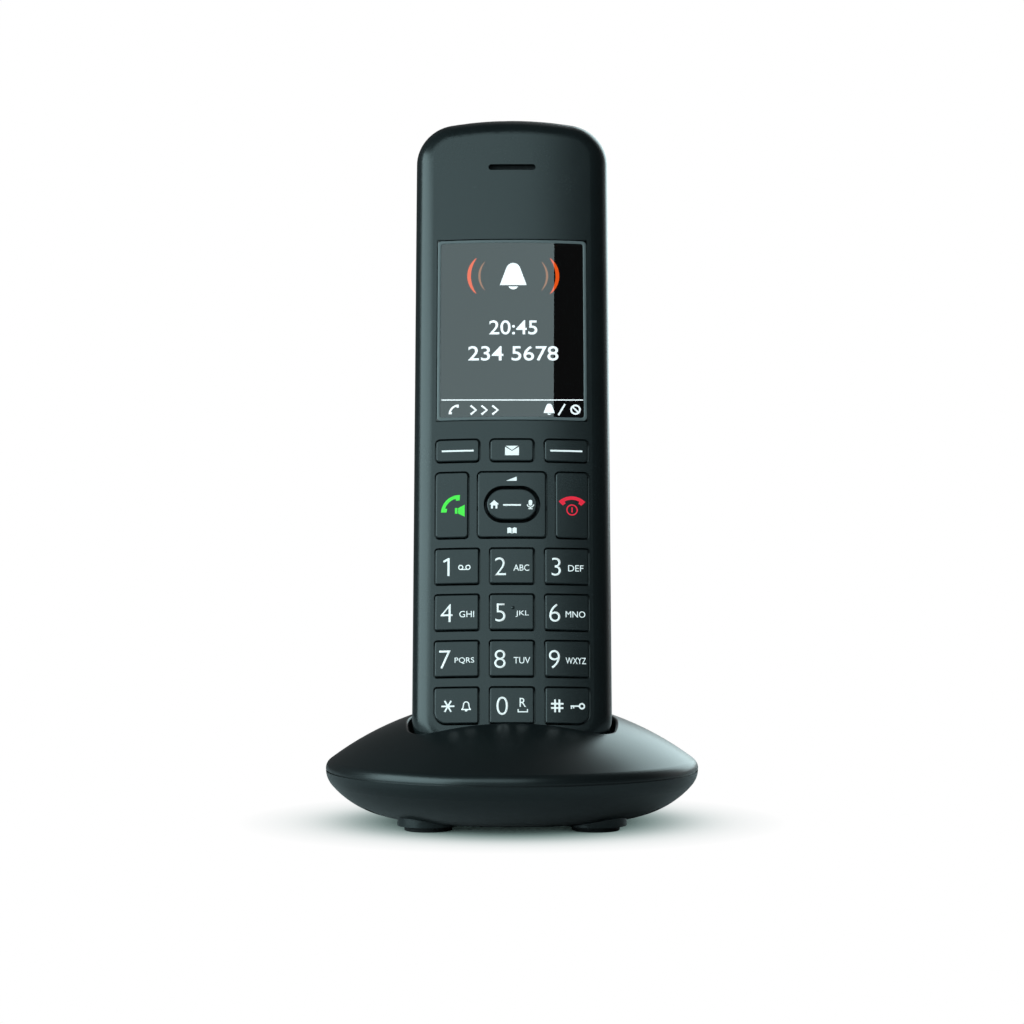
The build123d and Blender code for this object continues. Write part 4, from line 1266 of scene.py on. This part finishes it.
@dataclass(frozen=True)
class WindowLip:
    """A low moulded lip along the window's edge, inside which the display shows, in a pale finish that is a
    painted highlight.

    Its section gives the share of the lip's width and the height in millimetres.
    """

    inset: float = 0.12 * MM
    width: float = 0.75 * MM
    corner: float = 1.0 * MM
    corner_share: float = 0.5
    step: float = 1.5 * MM
    section: tuple[Point, ...] = (
        (0.0, 0.01), (0.05, 0.07), (0.25, 0.11), (0.7, 0.11), (0.92, 0.07), (1.0, 0.01),
    )

    def path(self, half_width: float, half_height: float, corner: float) -> Outline:
        """Points round a rectangle with round corners.

        Args:
            half_width: half its width.
            half_height: half its height.
            corner: its corner radius.

        Returns:
            The points, with the straight runs divided.
        """
        points: Outline = []
        x = half_width - corner
        y = half_height - corner
        for number, middle in enumerate(((x, y), (-x, y), (-x, -y), (x, -y))):
            points += arc(middle, corner, 90.0 * number, 90.0 * number + 90.0, 6)
        runs: Outline = []
        for first, second in zip(points, points[1:] + points[:1]):
            pieces = max(1, round((Vector(second) - Vector(first)).length / self.step))
            runs += [tuple(Vector(first).lerp(Vector(second), part / pieces)) for part in range(pieces)]
        return runs

    def build(self) -> None:
        """Sweep the lip's section round the window and lay it on the crowned face."""
        low, high = BENCH.spans("display_window")
        middle = (low + high) / 2.0
        half = (high - low) / 2.0
        work = bmesh.new()
        loops = []
        for share, height in self.section:
            inset = self.inset + share * self.width
            corner = self.corner - share * self.width * self.corner_share
            points = self.path(half.x - inset, half.y - inset, corner)
            loops.append([work.verts.new((x, y, height * MM)) for x, y in points])
        count = min(len(loop) for loop in loops)
        for outer, inner in zip(loops, loops[1:] + loops[:1]):
            for number in range(count):
                after = (number + 1) % count
                work.faces.new((outer[number], outer[after], inner[after], inner[number]))
        mesh = closed_mesh("window_lip", work)
        drape(mesh, "display_window", (middle.x, middle.y))
        settle(place_piece("window_lip", mesh, Ink.LIP_PAINTED_HIGHLIGHT.value), "handset")


@dataclass(frozen=True)
class CoverArrow:
    """A raised arrow on the battery cover, under the ridges where a thumb takes hold."""

    drop: float = 18.0 * MM
    rise: float = 0.25
    outline: tuple[Point, ...] = ((-2.2, 0.0), (0.0, -2.6), (2.2, 0.0), (1.3, 0.0), (0.0, -1.5), (-1.3, 0.0))

    def build(self) -> None:
        """Draw the arrow and lay it on the cover's back."""
        low, high = BENCH.spans("battery_cover")
        spot = ((low.x + high.x) / 2.0, high.y - self.drop)
        drawing = Drawing((Mark([self.outline]),), self.rise)
        arrow = drawing.lay("cover_arrow", "battery_cover", spot, Slot.HANDSET, back=True)
        settle(arrow, "battery_cover")


@dataclass(frozen=True)
class EarpieceScreen:
    """Woven wire behind the lips of the earpiece slot."""

    width: float = 11.3 * MM
    height: float = 1.46 * MM
    pitch: float = 0.28 * MM
    wire: float = 0.055 * MM
    deep: float = 1.35 * MM

    def build(self) -> None:
        """Weave the screen and set it into the slot."""
        rows = int(self.height / self.pitch)
        columns = int(self.width / self.pitch)
        recipe = Recipe(
            "earpiece_screen",
            {"Width": self.width, "Height": self.height, "Rows": rows, "Columns": columns, "Wire": self.wire},
        )
        rim = recipe.node("CurvePrimitiveCircle", Resolution=5, Radius=recipe.size("Wire"))
        sets = []
        for axis, number, span, run in ((1, "Rows", "Height", "Width"), (0, "Columns", "Width", "Height")):
            reach = recipe.size(span)
            step = reach / recipe.size(number)
            posts = recipe.node(
                "MeshLine", Count=recipe.size(number), Offset=recipe.vector({axis: step}),
                Start_Location=recipe.vector({axis: (step - reach) / 2.0}),
            )
            half = recipe.size(run) / 2.0
            ends = [recipe.vector({1 - axis: half * side}) for side in (-1.0, 1.0)]
            line = recipe.node("CurvePrimitiveLine", Start=ends[0], End=ends[1])
            lines = recipe.node("InstanceOnPoints", Points=posts, Instance=line)
            real = recipe.node("RealizeInstances", Geometry=lines)
            sets.append(recipe.node("CurveToMesh", Curve=real, Profile_Curve=rim, Fill_Caps=True))
        mesh = recipe.bake(recipe.joined(*sets), [(0.0, 0.0, 0.0)], Slot.CAPSULE.value)
        felt = BENCH.middle("earpiece_felt")
        mesh.transform(BENCH.seat(felt.x, felt.y, self.deep))
        settle(place_piece("earpiece_screen", mesh, Slot.CAPSULE.value), "handset")


@dataclass(frozen=True)
class CradleFeet:
    """Four rubber feet with ring ribs on their soles, in place of the plain CAD feet."""

    sole: float = 0.5 * MM
    rim: float = 0.35 * MM
    rib: float = 0.42 * MM
    ring_count: int = 4
    first_ring: float = 0.75
    steps: int = 56

    def spots(self) -> tuple[list[Spot], float, float]:
        """Read the feet from their CAD node.

        Returns:
            The middles of the feet on the floor, their radius and their height.
        """
        feet = {}
        for vertex in frame["nodes"]["cradle_feet"].data.vertices:
            feet.setdefault((vertex.co.x > 0.0, vertex.co.y > 0.0), []).append(vertex.co)
        boxes = [corners(points) for points in feet.values()]
        middles = [((low.x + high.x) / 2.0, (low.y + high.y) / 2.0, 0.0) for low, high in boxes]
        low, high = boxes[-1]
        return middles, (high.x - low.x) / 2.0, high.z

    def pad(self, radius: float, height: float) -> Mesh:
        """Turn one foot's body on a lathe.

        Args:
            radius: the foot's radius.
            height: its height.

        Returns:
            Its mesh, about the origin.
        """
        rim = self.rim
        profile = [(0.0, self.sole), (radius - 2.0 * rim, self.sole)]
        profile += [(radius - 2.0 * rim, 0.0), (radius - rim, 0.0)]
        profile += arc((radius - rim, rim), rim, -90.0, 0.0, 5)[1:]
        profile += [(radius, height), (0.0, height)]
        return lathe("foot_pad", profile, self.steps)

    def build(self) -> None:
        """Lathe the pad, ring its sole and set four of them under the cradle."""
        spots, radius, height = self.spots()
        pitch = (radius - 3.0 * self.rim - self.rib) / self.ring_count
        recipe = Recipe(
            "cradle_foot_pads", {"Rings": self.ring_count, "Pitch": pitch, "Rib": self.rib, "Sole": self.sole}
        )
        pad = bpy.data.objects.new("foot_pad", self.pad(radius, height))
        body = recipe.tree.add("GeometryNodeObjectInfo", None, {"Object": pad}).outputs["Geometry"]
        posts = recipe.node("MeshLine", Count=recipe.size("Rings"), Offset=(0.0, 0.0, 0.0))
        reach = (recipe.index() + self.first_ring) * recipe.size("Pitch")
        circle = recipe.node("CurvePrimitiveCircle", Resolution=40, Radius=1.0)
        size = recipe.vector({0: reach, 1: reach, 2: 1.0})
        rings = recipe.node("InstanceOnPoints", Points=posts, Instance=circle, Scale=size)
        lines = recipe.node("RealizeInstances", Geometry=rings)
        rim = recipe.node("CurvePrimitiveCircle", Resolution=8, Radius=recipe.size("Rib"))
        ribs = recipe.node("CurveToMesh", Curve=lines, Profile_Curve=rim)
        sole = recipe.vector({2: recipe.size("Sole")})
        foot = recipe.joined(body, recipe.node("Transform", Geometry=ribs, Translation=sole))
        feet = recipe.node("InstanceOnPoints", Points=recipe.points, Instance=foot)
        mesh = recipe.bake(feet, spots, Slot.FOOT.value)
        bpy.data.objects.remove(pad)
        piece = place_piece("cradle_foot_pads", mesh, Slot.FOOT.value)
        settle(piece, "cradle")
        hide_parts("cradle_feet")


@dataclass(frozen=True)
class Softbox:
    """A soft rectangular lamp that the camera doesn't see."""

    name: str
    place: Spot
    aim: Spot
    width: float
    height: float
    radiance: float

    def hang(self) -> None:
        """Hang the lamp and turn it to what it lights."""
        data = bpy.data.lights.new(self.name, "AREA")
        data.shape = "RECTANGLE"
        data.size = self.width
        data.size_y = self.height
        data.energy = self.radiance * math.pi * self.width * self.height
        data.color = COOL_LAMP
        lamp = bpy.data.objects.new(self.name, data)
        lamp.location = self.place
        lamp.rotation_euler = (Vector(self.aim) - Vector(self.place)).to_track_quat("-Z", "Y").to_euler()
        lamp.visible_camera = False
        bpy.context.collection.objects.link(lamp)


@dataclass(frozen=True)
class Studio:
    """Camera, lamps, white backdrop and pale floor."""

    camera_place: Spot = (0.0, -0.670, 0.0741)
    lens: float = 98.09
    sensor: float = 36.0
    room_colour: Colour = (0.93, 0.98, 1.0)
    room_glow: float = 0.045
    behind_ramp: Point = (0.15, 0.6)
    right_ramp: Point = (-0.2, 0.2)
    left_mirrored: float = 0.03
    right_mirrored: float = 0.42
    floor_radius: float = 4.0
    floor_cloud: float = 40.0 * MM
    floor_colours: tuple[Colour, Colour] = ((0.56, 0.57, 0.58), (0.60, 0.61, 0.62))
    shadow_reach: float = 0.024
    shadow_powers: Colour = (0.76, 0.63, 0.65)
    lamps: tuple[Softbox, ...] = (
        Softbox("front_softbox", (-0.38, -1.28, 0.90), (-0.38, 0.0, 0.117), 1.24, 0.95, 1.62),
        Softbox("left_softbox", (-1.36, -0.60, 0.55), (0.0, 0.0, 0.09), 1.7, 1.1, 3.9),
        Softbox("right_rear", (0.72, 1.25, 0.75), (0.0, 0.0, 0.06), 1.0, 1.3, 2.6),
        Softbox("low_fill", (0.0, -1.6, 0.12), (0.0, 0.0, 0.03), 1.2, 0.16, 0.2),
    )

    def shoot(self) -> None:
        """Set the camera at the photograph's viewing angle."""
        data = bpy.data.cameras.new("camera")
        data.lens = self.lens
        data.sensor_width = self.sensor
        camera = bpy.data.objects.new("camera", data)
        camera.location = self.camera_place
        camera.rotation_euler = (math.pi / 2.0, 0.0, 0.0)
        bpy.context.collection.objects.link(camera)
        bpy.context.scene.camera = camera

    def backdrop(self) -> None:
        """White to the camera, and to gloss and glass on the side behind the object."""
        world = bpy.data.worlds.new("backdrop")
        world.use_nodes = True
        bpy.context.scene.world = world
        tree = Tree(world.node_tree)
        tree.nodes.nodes.clear()
        path = tree.add("ShaderNodeLightPath")
        rays = ("Is Camera Ray", "Is Glossy Ray", "Is Transmission Ray")
        seen, gloss, glass = (Value(tree, path.outputs[ray]) for ray in rays)
        towards = tree.add("ShaderNodeTexCoord").outputs["Generated"]
        split = tree.add("ShaderNodeSeparateXYZ", None, {0: towards})
        behind = Value(tree, split.outputs[1]).ramp(*self.behind_ramp)
        right = Value(tree, split.outputs[0]).ramp(*self.right_ramp)
        mirrored = behind * (self.left_mirrored + right * self.right_mirrored)
        white = seen.most(gloss.most(glass) * mirrored)
        room = {"Color": (*self.room_colour, 1.0), "Strength": self.room_glow}
        dim = tree.add("ShaderNodeBackground", None, room)
        bright = tree.add("ShaderNodeBackground", None, {"Color": (1.0, 1.0, 1.0, 1.0), "Strength": 1.0})
        both = tree.add("ShaderNodeMixShader", None, {0: white, 1: dim.outputs[0], 2: bright.outputs[0]})
        tree.add("ShaderNodeOutputWorld", None, {"Surface": both.outputs[0]})

    def floor(self) -> None:
        """A pale disc that shows the camera a painted contact shadow, ambient occlusion in its emission, and
        is white farther out.
        """
        work = bmesh.new()
        bmesh.ops.create_circle(work, cap_ends=True, segments=96, radius=self.floor_radius)
        mesh = bpy.data.meshes.new("floor")
        work.to_mesh(mesh)
        work.free()
        surface = Surface("pale_floor", {"Roughness": 0.6, "Specular IOR Level": 0.2})
        cloud = surface.noise(self.floor_cloud, 3.0)
        surface.set("Base Color", surface.mixed(cloud, *self.floor_colours))
        seen = surface.add("ShaderNodeLightPath").outputs["Is Camera Ray"]
        # Painted shadow: ambient occlusion dims the floor's emission for the camera near the object, each
        # channel by its own power, so the shadow is tinted cool.
        cover = surface.add("ShaderNodeAmbientOcclusion", {"samples": 24}, {"Distance": self.shadow_reach})
        open_sky = Value(surface, cover.outputs["AO"])
        channels = {number: open_sky**power for number, power in enumerate(self.shadow_powers)}
        painted_shadow_colour = surface.add("ShaderNodeCombineColor", None, channels).outputs[0]
        emission_and_painted_light = surface.add("ShaderNodeEmission", None, {"Color": painted_shadow_colour, "Strength": 1.0}).outputs[0]
        ways = {0: seen, 1: surface.shader.outputs[0], 2: emission_and_painted_light}
        both = surface.add("ShaderNodeMixShader", None, ways).outputs[0]
        surface.feed(surface.output.inputs["Surface"], both)
        place_piece("floor", mesh, "pale_floor")

    def build(self) -> None:
        """Set up the whole studio."""
        bpy.context.scene.view_settings.view_transform = "Standard"
        self.shoot()
        self.backdrop()
        self.floor()
        for lamp in self.lamps:
            lamp.hang()


def main() -> None:
    """Build the finishes, the pieces and the studio."""
    logging.basicConfig(level=logging.INFO, format="%(name)s %(message)s")
    for finish in FINISHES:
        finish.build()
        LOG.info("finish %s", finish.name)
    for group in (Studio(), Keypad(), Picture(), WindowLip(), EarpieceScreen(), CoverArrow(), CradleFeet()):
        group.build()


if __name__ == "__main__":
    main()
